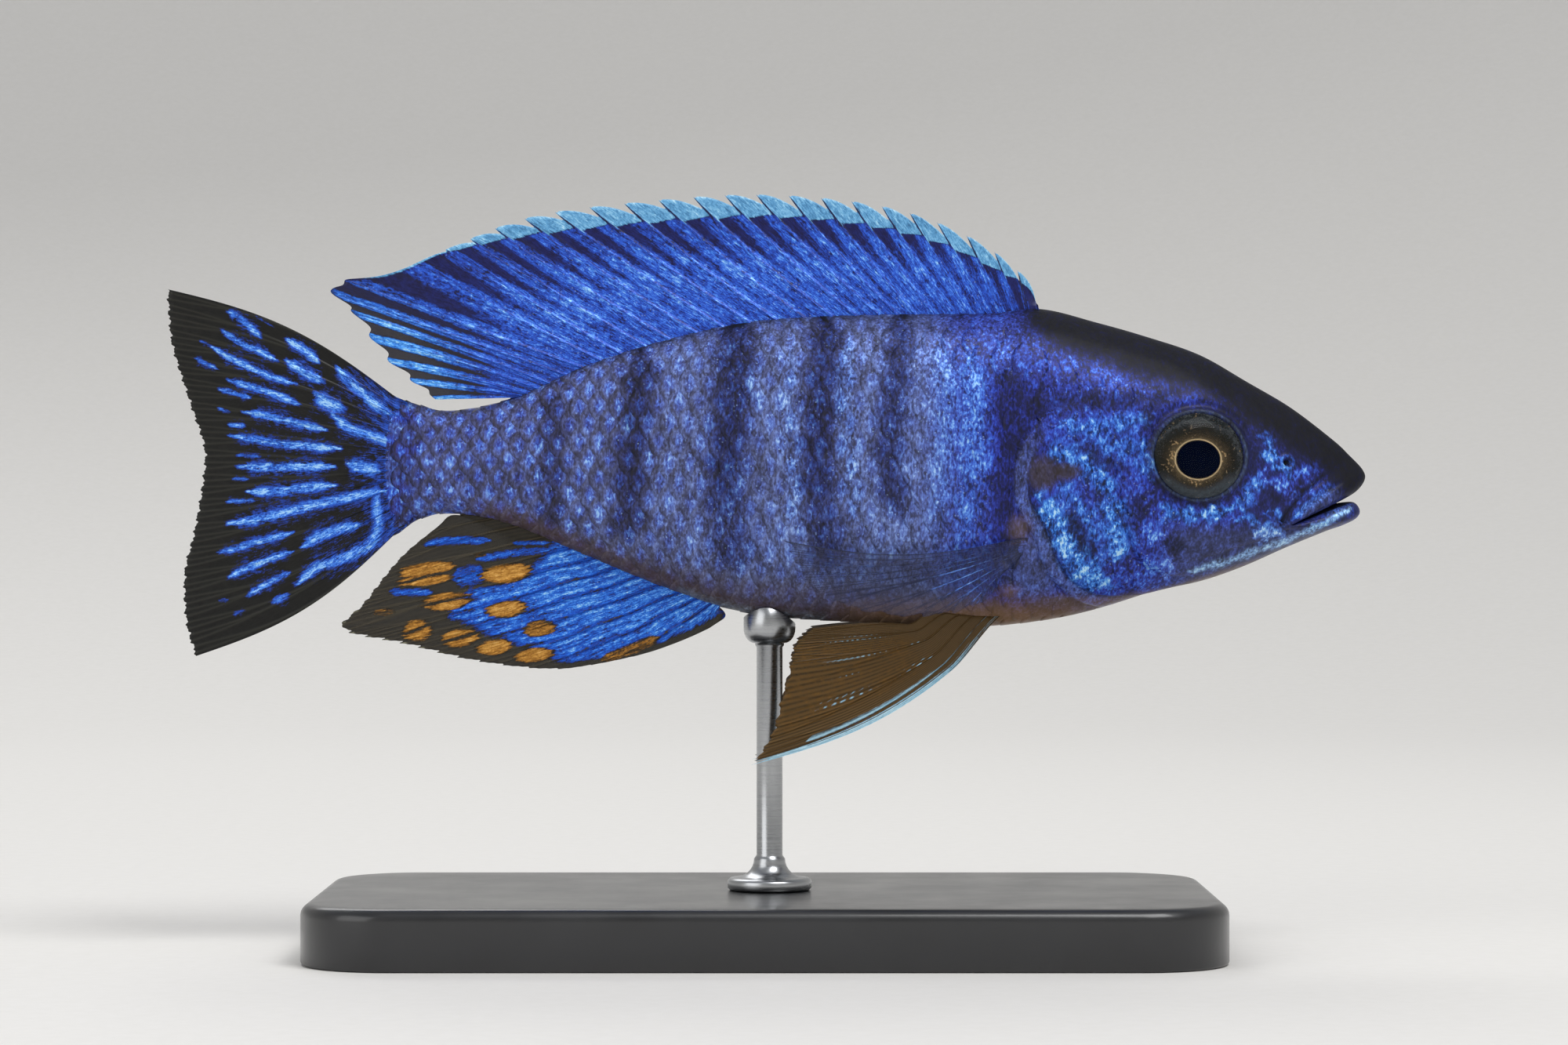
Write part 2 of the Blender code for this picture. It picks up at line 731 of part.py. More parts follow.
def ray_points(root, tip, bow, rows, cut):
    """Points along one ray: a straight line bowed by bow at its middle, shortened at its tip by cut."""
    root = np.array(root)
    tip = np.array(tip)
    run = tip - root
    length = max(np.linalg.norm(run), 0.01)
    across = np.array((-run[1], run[0])) / length
    end = max(1 - cut / length, 0.3)
    shares = np.linspace(0, end, rows)
    return [root + run * s + across * bow * math.sin(math.pi * s) for s in shares], shares


def thickness(share, crest, root_half=FIN_ROOT_HALF, edge_half=FIN_EDGE_HALF, ridge=RAY_RIDGE):
    plain = edge_half + (root_half - edge_half) * (1 - share) ** 2.2
    return plain + (ridge * (1 - 0.55 * share) if crest else 0.0)


def fan(rays, spines=0, notch=0.0):
    """Places across a fin: share of the fin, on a ray or not, and how much shorter than the margin.
    The flaps between the spines grow smaller over the first soft rays."""
    places = []
    step = 1 / (rays - 1)
    for i in range(rays):
        start = i * step
        size = min(max((spines + LAPPET_FADE - i) / LAPPET_FADE, 0.0), 1.0) if spines else 0.0
        if size > 0:
            for offset, depth in LAPPET_SHAPE:
                places.append((start + offset * step, offset == 0.0, depth * notch * size))
        else:
            if i > 0:
                places.append((start - TIP_SPACING * step, False, TIP_NOTCH))
            places.append((start, True, 0.0))
            if i < rays - 1:
                places.append((start + TIP_SPACING * step, False, TIP_NOTCH))
    return places


def mix(ends, share):
    return ends[0] + (ends[1] - ends[0]) * share


def at_tips(margin, tips):
    """The margin by the share of the rays, where tips holds the share of the margin at even steps."""
    places = np.linspace(0, 1, len(tips))
    return lambda share: margin(float(np.interp(share, places, tips)))


def upright_fin(name, base, margin, bow, places, rows, sway, look):
    """A fin in the middle plane, with a slight sway to one side and the other."""
    columns = []
    for share, crest, cut in places:
        points, along = ray_points(base(share), margin(share), bow(share), rows, cut)
        middle = [sway(share, s) for s in along]
        half = [thickness(s, crest) for s in along]
        half[-1] = FIN_EDGE_HALF * 0.8
        low = [m - h for m, h in zip(middle, half)]
        high = [m + h for m, h in zip(middle, half)]
        columns.append((points, low, high))
    return fin_body(name, columns, look)


def make_upright_fins():
    blue = material("blue fin skin", (0.05, 0.10, 0.45), 0.3)
    dusky = material("dusky fin skin", (0.05, 0.06, 0.14), 0.3)

    rays = np.array(DORSAL_FAN)
    bows = np.array(DORSAL_BOW)
    last_ray = DORSAL_RAYS - 1
    dorsal_line = smooth_line(DORSAL_MARGIN)

    def dorsal_base(share):
        x = float(np.interp(share * last_ray, rays[:, 0], rays[:, 2]))
        return x, back_height(x)

    def dorsal_margin(share):
        return dorsal_line(float(np.interp(share * last_ray, rays[:, 0], rays[:, 1])))

    upright_fin(
        "dorsal_fin", dorsal_base, dorsal_margin,
        lambda share: np.interp(share * last_ray, bows[:, 0], bows[:, 1]),
        fan(DORSAL_RAYS, DORSAL_SPINES, LAPPET_NOTCH), FIN_ROWS,
        lambda share, s: DORSAL_SWAY * s * math.sin(5.0 * share), blue,
    )

    anal_line = smooth_line(ANAL_MARGIN)

    def anal_base(share):
        x = mix(ANAL_BASE, share ** ANAL_ROOT_POWER)
        return x, belly_line(x)

    upright_fin(
        "anal_fin", anal_base, lambda share: anal_line(share ** ANAL_TIP_POWER),
        lambda share: mix(ANAL_BOW, share),
        fan(ANAL_RAYS), FIN_ROWS, lambda share, s: ANAL_SWAY * s * math.sin(4.0 * share), blue,
    )

    def caudal_base(share):
        x, top, low = CAUDAL_BASE
        return x, top + (low - top) * share

    upright_fin(
        "caudal_fin", caudal_base, smooth_line(CAUDAL_MARGIN), lambda share: -CAUDAL_BOW * (1 - 2 * share),
        fan(CAUDAL_RAYS), FIN_ROWS, lambda share, s: CAUDAL_SWAY * s * s * math.sin(2.5 * share + 0.6), dusky,
    )


def make_pelvic_fin(side, word, look):
    margin = at_tips(smooth_line(PELVIC_MARGIN), PELVIC_TIPS)
    columns = []
    for share, crest, cut in fan(PELVIC_RAYS):
        x = mix(PELVIC_BASE, share)
        root = (x, belly_line(x))
        points, along = ray_points(root, margin(share), mix(PELVIC_BOW, share), PELVIC_ROWS, cut)
        low = []
        high = []
        for k, s in enumerate(along):
            middle = PELVIC_OFFSET + PELVIC_SPREAD * s ** 1.2 + 0.5 * share
            half = thickness(s, crest)
            low.append(side * (middle - half))
            high.append(side * (middle + half))
        columns.append((points, low, high))
    made = fin_body("pelvic_fin_" + word, columns, look)
    rows = len(columns[0][0])
    for n, vertex in enumerate(made.data.vertices):
        if n % rows == 0:
            x = vertex.co.x / METRES
            y = vertex.co.y / METRES
            vertex.co.z = (belly_height(x, y) - GAP + AXIS_HEIGHT) * METRES


def make_pectoral_fin(side, word, look):
    margin = at_tips(smooth_line(PECTORAL_MARGIN), PECTORAL_TIPS)
    columns = []
    for share, crest, cut in fan(PECTORAL_RAYS):
        root = [mix(ends, share) for ends in zip(PECTORAL_TOP, PECTORAL_BOTTOM)]
        points, along = ray_points(root, margin(share), mix(PECTORAL_BOW, share), PECTORAL_ROWS, cut)
        low = []
        high = []
        for (x, z), s in zip(points, along):
            skin = half_width(x, max(z, PECTORAL_LOWEST))
            half = thickness(s, crest, PECTORAL_ROOT_HALF, FIN_EDGE_HALF, PECTORAL_RIDGE)
            middle = skin + GAP + PECTORAL_OFF + PECTORAL_SPREAD * s ** 1.4
            low.append(side * (middle - half))
            high.append(side * (middle + half))
        columns.append((points, low, high))
    fin_body("pectoral_fin_" + word, columns, look)


def make_paired_fins():
    amber = material("amber fin skin", (0.30, 0.16, 0.07), 0.35)
    clear = material("clear fin skin", (0.22, 0.26, 0.34), 0.3)
    for side, word in ((-1, "right"), (1, "left")):
        make_pelvic_fin(side, word, amber)
        make_pectoral_fin(side, word, clear)


# Stand


def rounded_outline(length, width, corner, steps=6):
    outline = []
    for quarter, (sx, sy) in enumerate(((1, 1), (-1, 1), (-1, -1), (1, -1))):
        for k in range(steps + 1):
            turn = math.pi / 2 * (quarter + k / steps)
            outline.append((
                sx * (length / 2 - corner) + corner * math.cos(turn),
                sy * (width / 2 - corner) + corner * math.sin(turn),
            ))
    return outline


def make_stand():
    black = material("black lacquered metal", (0.02, 0.02, 0.022), 0.4)
    steel = material("polished steel", (0.55, 0.56, 0.58), 0.25, 1.0)
    floor = -AXIS_HEIGHT
    top = floor + BASE_THICKNESS

    rings = []
    for height, inset in ((floor, 0.0), (top - BASE_CHAMFER, 0.0), (top, BASE_CHAMFER)):
        outline = rounded_outline(BASE_LENGTH - 2 * inset, BASE_WIDTH - 2 * inset, BASE_CORNER - inset)
        rings.append([(x, y, height) for x, y in outline])
    base = write_mesh("stand_base", *loft(rings), black)
    smooth_faces(base, 30)

    foot_low = top + GAP
    foot_top = foot_low + FOOT_HEIGHT
    profile = (
        (0.0, foot_low), (FOOT_RADIUS, foot_low), (FOOT_RADIUS, foot_low + FOOT_RIM),
        (FOOT_RADIUS - FOOT_SHOULDER[0], foot_low + FOOT_SHOULDER[1]), (ROD_RADIUS + FOOT_NECK, foot_top),
        (0.0, foot_top),
    )
    points, faces = lathe(profile, FOOT_SIDES)
    foot = write_mesh("stand_foot", [(x + ROD_X, y, z) for x, y, z in points], faces, steel)
    smooth_faces(foot, 30)

    belly = belly_line(ROD_X)
    cup_low = belly - GAP - CUP_DEPTH
    rod_low = foot_top + GAP
    rod_top = cup_low - GAP
    rod = ((0.0, rod_low), (ROD_RADIUS, rod_low), (ROD_RADIUS, rod_top), (0.0, rod_top))
    points, faces = lathe(rod, ROD_SIDES)
    made = write_mesh("stand_rod", [(x + ROD_X, y, z) for x, y, z in points], faces, steel)
    smooth_faces(made, 30)

    profile = (
        (0.0, cup_low), (ROD_RADIUS + CUP_FOOT, cup_low), (CUP_RADIUS, cup_low + CUP_FLARE),
        (CUP_RADIUS, belly), (CUP_RADIUS / 2, belly), (0.0, belly),
    )
    points, faces = lathe(profile, ROD_SIDES)
    shaped = []
    for x, y, z in points:
        x += ROD_X
        if z == belly:
            z = belly_height(x, y) - GAP
        shaped.append((x, y, z))
    made = write_mesh("stand_cup", shaped, faces, steel)
    smooth_faces(made, 30)


def main():
    clear_scene()
    make_body()
    make_upright_fins()
    make_paired_fins()
    make_stand()


if __name__ == "__main__":
    main()
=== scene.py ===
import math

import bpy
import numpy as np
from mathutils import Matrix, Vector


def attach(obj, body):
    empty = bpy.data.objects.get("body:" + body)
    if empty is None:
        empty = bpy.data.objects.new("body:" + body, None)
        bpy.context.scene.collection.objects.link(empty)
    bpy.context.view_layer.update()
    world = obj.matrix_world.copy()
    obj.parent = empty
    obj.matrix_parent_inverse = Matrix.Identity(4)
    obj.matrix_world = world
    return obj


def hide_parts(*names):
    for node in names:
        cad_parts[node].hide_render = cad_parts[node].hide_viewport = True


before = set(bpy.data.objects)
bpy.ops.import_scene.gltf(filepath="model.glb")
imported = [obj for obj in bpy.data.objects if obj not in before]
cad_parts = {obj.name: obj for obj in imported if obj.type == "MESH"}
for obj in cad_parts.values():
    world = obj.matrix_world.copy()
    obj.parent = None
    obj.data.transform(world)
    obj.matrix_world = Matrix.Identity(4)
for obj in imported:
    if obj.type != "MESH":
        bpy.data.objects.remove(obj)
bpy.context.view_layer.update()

# Peacock cichlid, adult male, as a life-size museum model on a small stand: how it looks.
# Lengths are in millimetres with heights measured from the fish's middle line, until a mesh is written.
# The snout points along +X, the fish's right side is at -Y.

mm = 0.001
axisHeight = 48.0


# small tools

def linear(hexColour):
    # sRGB hex to the linear colour that a shader wants
    parts = [int(hexColour[k:k + 2], 16) / 255 for k in (1, 3, 5)]
    return [p / 12.92 if p <= 0.04045 else ((p + 0.055) / 1.055) ** 2.4 for p in parts] + [1.0]


def add(tree, kind, inputs=None, out=0, **settings):
    # one node with its settings: each input is a number, a hex colour or the socket that feeds it
    node = tree.nodes.new("ShaderNode" + kind)
    for key, value in settings.items():
        if key == "stops":  # places and colours of a ramp
            elements = node.color_ramp.elements
            elements[0].position, elements[1].position = value[0][0], value[-1][0]
            for place, _ in value[1:-1]:
                elements.new(place)
            for element, (_, colour) in zip(elements, value):
                element.color = linear(colour)
        else:
            setattr(node, key, value)
    for key, value in (inputs or {}).items():
        if isinstance(value, bpy.types.NodeSocket):
            tree.links.new(value, node.inputs[key])
        else:
            node.inputs[key].default_value = linear(value) if isinstance(value, str) else value
    return node.outputs[out]


def newMaterial(name, **sockets):
    made = bpy.data.materials.new(name)
    made.use_nodes = True
    shader = made.node_tree.nodes["Principled BSDF"]
    for key, value in sockets.items():
        shader.inputs[key.replace("_", " ")].default_value = value
    return made, made.node_tree, shader


def smoothAt(values, u):
    # points on a smooth line through the values, u counted in values
    values = np.asarray(values, float)
    u = np.atleast_1d(np.asarray(u, float))
    last = len(values) - 1
    k = np.clip(u.astype(int), 0, last - 1)
    f = (u - k)[:, None]
    before, start = values[np.maximum(k - 1, 0)], values[k]
    end, after = values[k + 1], values[np.minimum(k + 2, last)]
    return start + 0.5 * f * (end - before + f * (
        2 * before - 5 * start + 4 * end - after + f * (3 * (start - end) + after - before)))


def evenLine(points, steps=16):
    # the line through the points, as a function of the share of its length
    dense = smoothAt(points, np.linspace(0, len(points) - 1, steps * (len(points) - 1) + 1))
    run = np.concatenate([[0.0], np.cumsum(np.linalg.norm(np.diff(dense, axis=0), axis=1))])
    run /= run[-1]
    return lambda share: np.stack([np.interp(share, run, dense[:, k]) for k in range(dense.shape[1])], -1)


def ease(value, low, high):
    t = np.clip((value - low) / (high - low), 0, 1)
    return t * t * (3 - 2 * t)


def toLine(x, z, points, smooth=True):
    # distance to a drawn line, the side of it (left of its run is positive) and the share of its length
    line = smoothAt(points, np.linspace(0, len(points) - 1, 6 * (len(points) - 1) + 1)) if smooth else np.array(points)
    best = np.full(np.shape(x), 1e9)
    side = np.zeros(np.shape(x))
    share = np.zeros(np.shape(x))
    lengths = np.linalg.norm(np.diff(line, axis=0), axis=1)
    run = np.concatenate([[0.0], np.cumsum(lengths)])
    for k in range(len(line) - 1):
        dx, dz = line[k + 1] - line[k]
        t = np.clip(((x - line[k, 0]) * dx + (z - line[k, 1]) * dz) / (lengths[k] ** 2 + 1e-12), 0, 1)
        px, pz = x - line[k, 0] - t * dx, z - line[k, 1] - t * dz
        near = px * px + pz * pz
        closer = near < best
        best = np.where(closer, near, best)
        side = np.where(closer, np.sign(dx * pz - dz * px), side)
        share = np.where(closer, (run[k] + t * lengths[k]) / run[-1], share)
    return np.sqrt(best), side, share


def brush(x, z, points, width, soft=0.35, taper=0.12):
    # a brush stroke: 1 on the line, fading at its edge, thinner towards its ends
    away, _, share = toLine(x, z, points)
    thin = np.clip(np.minimum(share, 1 - share) / taper, 0.15, 1) ** 0.6
    return 1 - ease(away, width * thin * (1 - soft), width * thin * (1 + soft) + 0.02)


def spot(x, z, cx, cz, rx, rz, soft=0.3, tilt=0.0):
    c, s = math.cos(tilt), math.sin(tilt)
    dx, dz = x - cx, z - cz
    away = np.hypot((dx * c + dz * s) / rx, (dz * c - dx * s) / rz)
    return 1 - ease(away, 1 - soft, 1 + soft)


def buildMesh(name, points, faces, attributes=None, uv=None, material=None, smooth=True):
    # points in mm, faces as an array of quads; uv holds one place per face corner
    points = np.asarray(points, float).reshape(-1, 3).copy()
    points[:, 2] += axisHeight
    faces = np.asarray(faces, np.int32)
    mesh = bpy.data.meshes.new(name)
    mesh.vertices.add(len(points))
    mesh.vertices.foreach_set("co", (points * mm).astype(np.float32).ravel())
    mesh.loops.add(faces.size)
    mesh.loops.foreach_set("vertex_index", faces.ravel())
    mesh.polygons.add(len(faces))
    mesh.polygons.foreach_set("loop_start", np.arange(len(faces), dtype=np.int32) * faces.shape[1])
    mesh.update(calc_edges=True)
    mesh.validate()
    for key, values in (attributes or {}).items():
        layer = mesh.attributes.new(key, "FLOAT", "POINT")
        layer.data.foreach_set("value", np.asarray(values, np.float32).ravel())
    if uv is not None:
        layer = mesh.uv_layers.new(name="OFBake")
        layer.data.foreach_set("uv", np.asarray(uv, np.float32).ravel())
    made = bpy.data.objects.new(name, mesh)
    bpy.context.scene.collection.objects.link(made)
    if material is not None:
        mesh.materials.append(material)
    if smooth:
        mesh.shade_smooth()
    return made


def settle(piece, slot, *nodes):
    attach(piece, "root")
    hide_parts(*nodes)
    return piece


def gridFaces(rows, columns, closed=False, first=0):
    # quads of a grid of points laid out row by row
    r = np.arange(rows - 1)[:, None]
    c = np.arange(columns if closed else columns - 1)[None, :]
    d = (c + 1) % columns
    return (first + np.stack([r * columns + c, r * columns + d, (r + 1) * columns + d, (r + 1) * columns + c], -1)
            ).reshape(-1, 4)


# body form, the same lines as in the CAD: back, side and belly as (x, z), and half the width

body = {
    "stations": (
        ((56.9, -3.3), (53.0, -5.2), (56.9, -3.3), 2.3),     # inside the mouth
        ((59.0, -2.2), (52.9, -5.2), (58.8, -3.15), 2.9),    # edge of the lips
        ((60.0, -0.95), (52.3, -5.5), (59.5, -4.0), 3.6),    # crest of the lips
        ((59.8, 0.1), (51.75, -5.75), (59.1, -4.8), 3.8),
        ((58.4, 1.6), (51.2, -5.7), (57.7, -5.5), 3.8),
        ((56.8, 3.1), (50.7, -5.2), (56.0, -6.1), 4.2),      # snout
        ((52.6, 6.3), (49.0, -3.8), (52.1, -7.7), 5.0),      # nostril
        ((48.2, 8.9), (47.2, -2.5), (47.8, -9.6), 5.7),
        ((43.5, 11.6), (43.5, -1.4), (43.5, -11.1), 6.4),    # eye
        ((38.8, 13.4), (38.8, -0.5), (38.8, -12.3), 6.9),
        ((33.3, 15.0), (33.3, -0.2), (33.3, -14.0), 7.2),    # cheek
        ((27.4, 16.4), (27.4, 0.0), (27.4, -15.2), 7.2),     # nape
        ((21.5, 15.9), (21.5, 0.2), (21.5, -15.7), 7.1),
        ((13.6, 15.8), (13.6, 0.2), (13.6, -15.4), 6.8),
        ((5.8, 15.6), (5.8, 0.3), (5.8, -15.1), 6.2),        # middle
        ((-2.1, 15.0), (-2.1, 0.5), (-2.1, -14.3), 5.4),
        ((-9.9, 13.3), (-9.9, 0.8), (-9.9, -11.9), 4.5),     # vent
        ((-17.8, 10.8), (-17.8, 1.1), (-17.8, -8.7), 3.5),
        ((-25.6, 7.3), (-25.6, 0.9), (-25.6, -5.5), 2.7),    # stalk of the tail
        ((-31.5, 6.1), (-31.5, 0.9), (-31.5, -4.4), 2.2),
        ((-34.7, 6.7), (-34.7, 0.8), (-34.7, -5.0), 1.7),
        ((-36.8, 7.5), (-36.8, 0.6), (-36.8, -6.4), 1.2),
        ((-38.6, 8.0), (-38.6, 0.5), (-38.6, -6.9), 0.42),   # runs out into the root of the tail fin
    ),
    "firstUpright": 9,
    "backPinch": 1.12,
    "bellyPinch": 0.9,
    "around": 288,
    "coatDepth": 0.2,      # how far the skin lies inside the solids under the scales
}
stationValues = np.array([(*top, *side, *low, half) for top, side, low, half in body["stations"]])
denseValues = smoothAt(stationValues, np.linspace(5, len(stationValues) - 1, 500))[::-1]


def sectionAt(x):
    # top x, top z, side x, side z, low x, low z and half width of the upright section at x
    x = np.asarray(x, float)
    d = denseValues
    return np.stack([x, np.interp(x, d[:, 0], d[:, 1]), x, np.interp(x, d[:, 2], d[:, 3]),
                     x, np.interp(x, d[:, 4], d[:, 5]), np.interp(x, d[:, 2], d[:, 6])], -1)


def ringPoints(values, turn):
    # values is one row per ring, turn the angles round it, 0 on the back and rising to the left side
    v = values[:, None, :]
    rise, out = np.cos(turn)[None, :], np.sin(turn)[None, :]
    up = rise >= 0
    x = v[..., 2] + np.where(up, v[..., 0] - v[..., 2], v[..., 4] - v[..., 2]) * np.abs(rise)
    z = v[..., 3] + np.where(up, v[..., 1] - v[..., 3], v[..., 5] - v[..., 3]) * np.abs(rise)
    pinch = np.where(up, body["backPinch"], body["bellyPinch"])
    y = np.sign(out) * v[..., 6] * np.abs(out) ** pinch
    return np.stack([x, y, z], -1)


def halfWidth(x, z):
    top, middle, low, half = (sectionAt(x)[..., k] for k in (1, 3, 5, 6))
    up = z >= middle
    share = np.clip(np.where(up, (z - middle) / (top - middle), (middle - z) / (middle - low)), 0, 1)
    return half * (1 - share ** 2) ** (np.where(up, body["backPinch"], body["bellyPinch"]) / 2)


def sideNormal(x, z, step=0.4):
    along = (halfWidth(x + step, z) - halfWidth(x - step, z)) / (2 * step)
    up = (halfWidth(x, z + step) - halfWidth(x, z - step)) / (2 * step)
    found = np.stack([-along, np.ones_like(along), -up], -1)
    return found / np.linalg.norm(found, axis=-1, keepdims=True)


def evenTurns(count):
    # angles that space points evenly round a section about twice as high as wide
    turn = np.linspace(0, 2 * math.pi, 2001)
    run = np.concatenate([[0], np.cumsum(np.hypot(np.diff(15 * np.cos(turn)), np.diff(7.5 * np.sin(turn))))])
    return np.interp(np.linspace(0, run[-1], count, endpoint=False), run, turn)


# marks on the body, measured on a side view in mm; the near side of the body reads a little larger there
# than its middle plane, so a place on the skin is first turned into a place on that view

view = {"acrossX": 1.85, "level": -5.2, "distance": 436.3, "near": 6.0}


def onView(x, z):
    grow = view["distance"] / (view["distance"] - view["near"])
    return view["acrossX"] + (x - view["acrossX"]) * grow, view["level"] + (z - view["level"]) * grow


def fromView(x, z):
    shrink = (view["distance"] - view["near"]) / view["distance"]
    return view["acrossX"] + (x - view["acrossX"]) * shrink, view["level"] + (z - view["level"]) * shrink


head = {
    "eye": (43.43, 1.5),
    "eyeRadius": 4.4,
    "rimHeight": 0.22,
    "socketDepth": 3.2,
    "nostril": (52.5, 0.85),
    "nostrilRadius": 0.42,
    "coverEdge": ((32.6, 5.6), (30.4, 5.2), (28.7, 4.2), (27.4, 2.6), (26.6, 0.9), (26.25, -0.8), (26.4, -2.8),
                  (27.2, -4.4), (28.3, -6.6), (29.1, -8.8), (30.4, -10.7), (32.2, -12.0), (34.4, -12.6),
                  (37.5, -12.5), (41.0, -11.9), (45.0, -10.9), (50.0, -9.2)),
    "coverRise": 0.5,
    "membraneWidth": 1.3,
    "cheekGroove": ((34.9, 2.2), (35.2, -0.8), (35.9, -3.6), (36.3, -6.6), (37.3, -9.2), (40.2, -10.6), (44.0, -10.4)),
    "lipGrooves": (((58.5, -0.9), (55.4, -2.9), (52.4, -5.5)),
                   ((57.0, -0.3), (54.0, -2.7), (52.0, -5.0), (52.2, -6.1), (53.9, -5.8))),
    "jawGroove": ((51.5, -6.9), (49.0, -7.4), (45.0, -8.6), (41.0, -9.6)),
}


def eyeAway(vx, vz):
    return np.hypot(vx - head["eye"][0], (vz - head["eye"][1]) * 1.07)


def relief(vx, vz):
    # how far the skin stands out from the plain form, for places on the side view
    lift = np.zeros(np.shape(vx))
    front = vx > 22
    if not front.any():
        return lift
    x, z = vx[front], vz[front]
    away, side, share = toLine(x, z, head["coverEdge"])
    inside = away * side
    ends = ease(share, 0.0, 0.10) * (1 - ease(share, 0.72, 0.98))
    lift_ = ends * head["coverRise"] * ease(inside, -0.12, 0.22) * np.exp(-np.clip(inside, 0, 99) / 4.0)
    lift_ += ends * 0.16 * ease(inside, -head["membraneWidth"] - 0.25, -head["membraneWidth"] + 0.1) * (inside < 0)
    lift_ -= ends * 0.22 * np.exp(-((inside + head["membraneWidth"] + 0.35) / 0.3) ** 2)
    away, side, share = toLine(x, z, head["cheekGroove"])
    ends = ease(share, 0.0, 0.15) * (1 - ease(share, 0.8, 1.0))
    lift_ -= ends * 0.2 * np.exp(-(away / 0.28) ** 2)
    lift_ += ends * 0.12 * np.exp(-((away * side - 0.75) / 0.5) ** 2)
    lift_ += 0.22 * np.exp(-((x - 40.6) / 3.6) ** 2 - ((z + 6.2) / 2.6) ** 2)
    for groove in head["lipGrooves"]:
        away, _, share = toLine(x, z, groove)
        lift_ -= 0.2 * np.exp(-(away / 0.2) ** 2) * np.clip(np.minimum(share, 1 - share) / 0.15, 0, 1)
    away, _, share = toLine(x, z, head["jawGroove"])
    lift_ -= 0.12 * np.exp(-(away / 0.25) ** 2) * np.clip(np.minimum(share, 1 - share) / 0.2, 0, 1)
    r = np.hypot(x - head["nostril"][0], z - head["nostril"][1])
    lift_ += 0.2 * np.exp(-((r - head["nostrilRadius"] - 0.2) / 0.17) ** 2) - 0.5 * (1 - ease(r, 0.1, 0.5))
    r = eyeAway(x, z)
    lift_ += head["rimHeight"] * np.exp(-((r - head["eyeRadius"] - 0.38) / 0.28) ** 2)
    lift_ -= 0.16 * np.exp(-((r - head["eyeRadius"] - 1.1) / 0.35) ** 2)
    lift_ -= 0.25 * (1 - ease(r, head["eyeRadius"] - 0.3, head["eyeRadius"] + 0.25))
    lift_ -= head["socketDepth"] * (1 - ease(r, 1.2, head["eyeRadius"] - 0.25))
    lift[front] = lift_
    return lift


# markings: how blue, cyan, dark, grey, warm and pale the skin is at each place

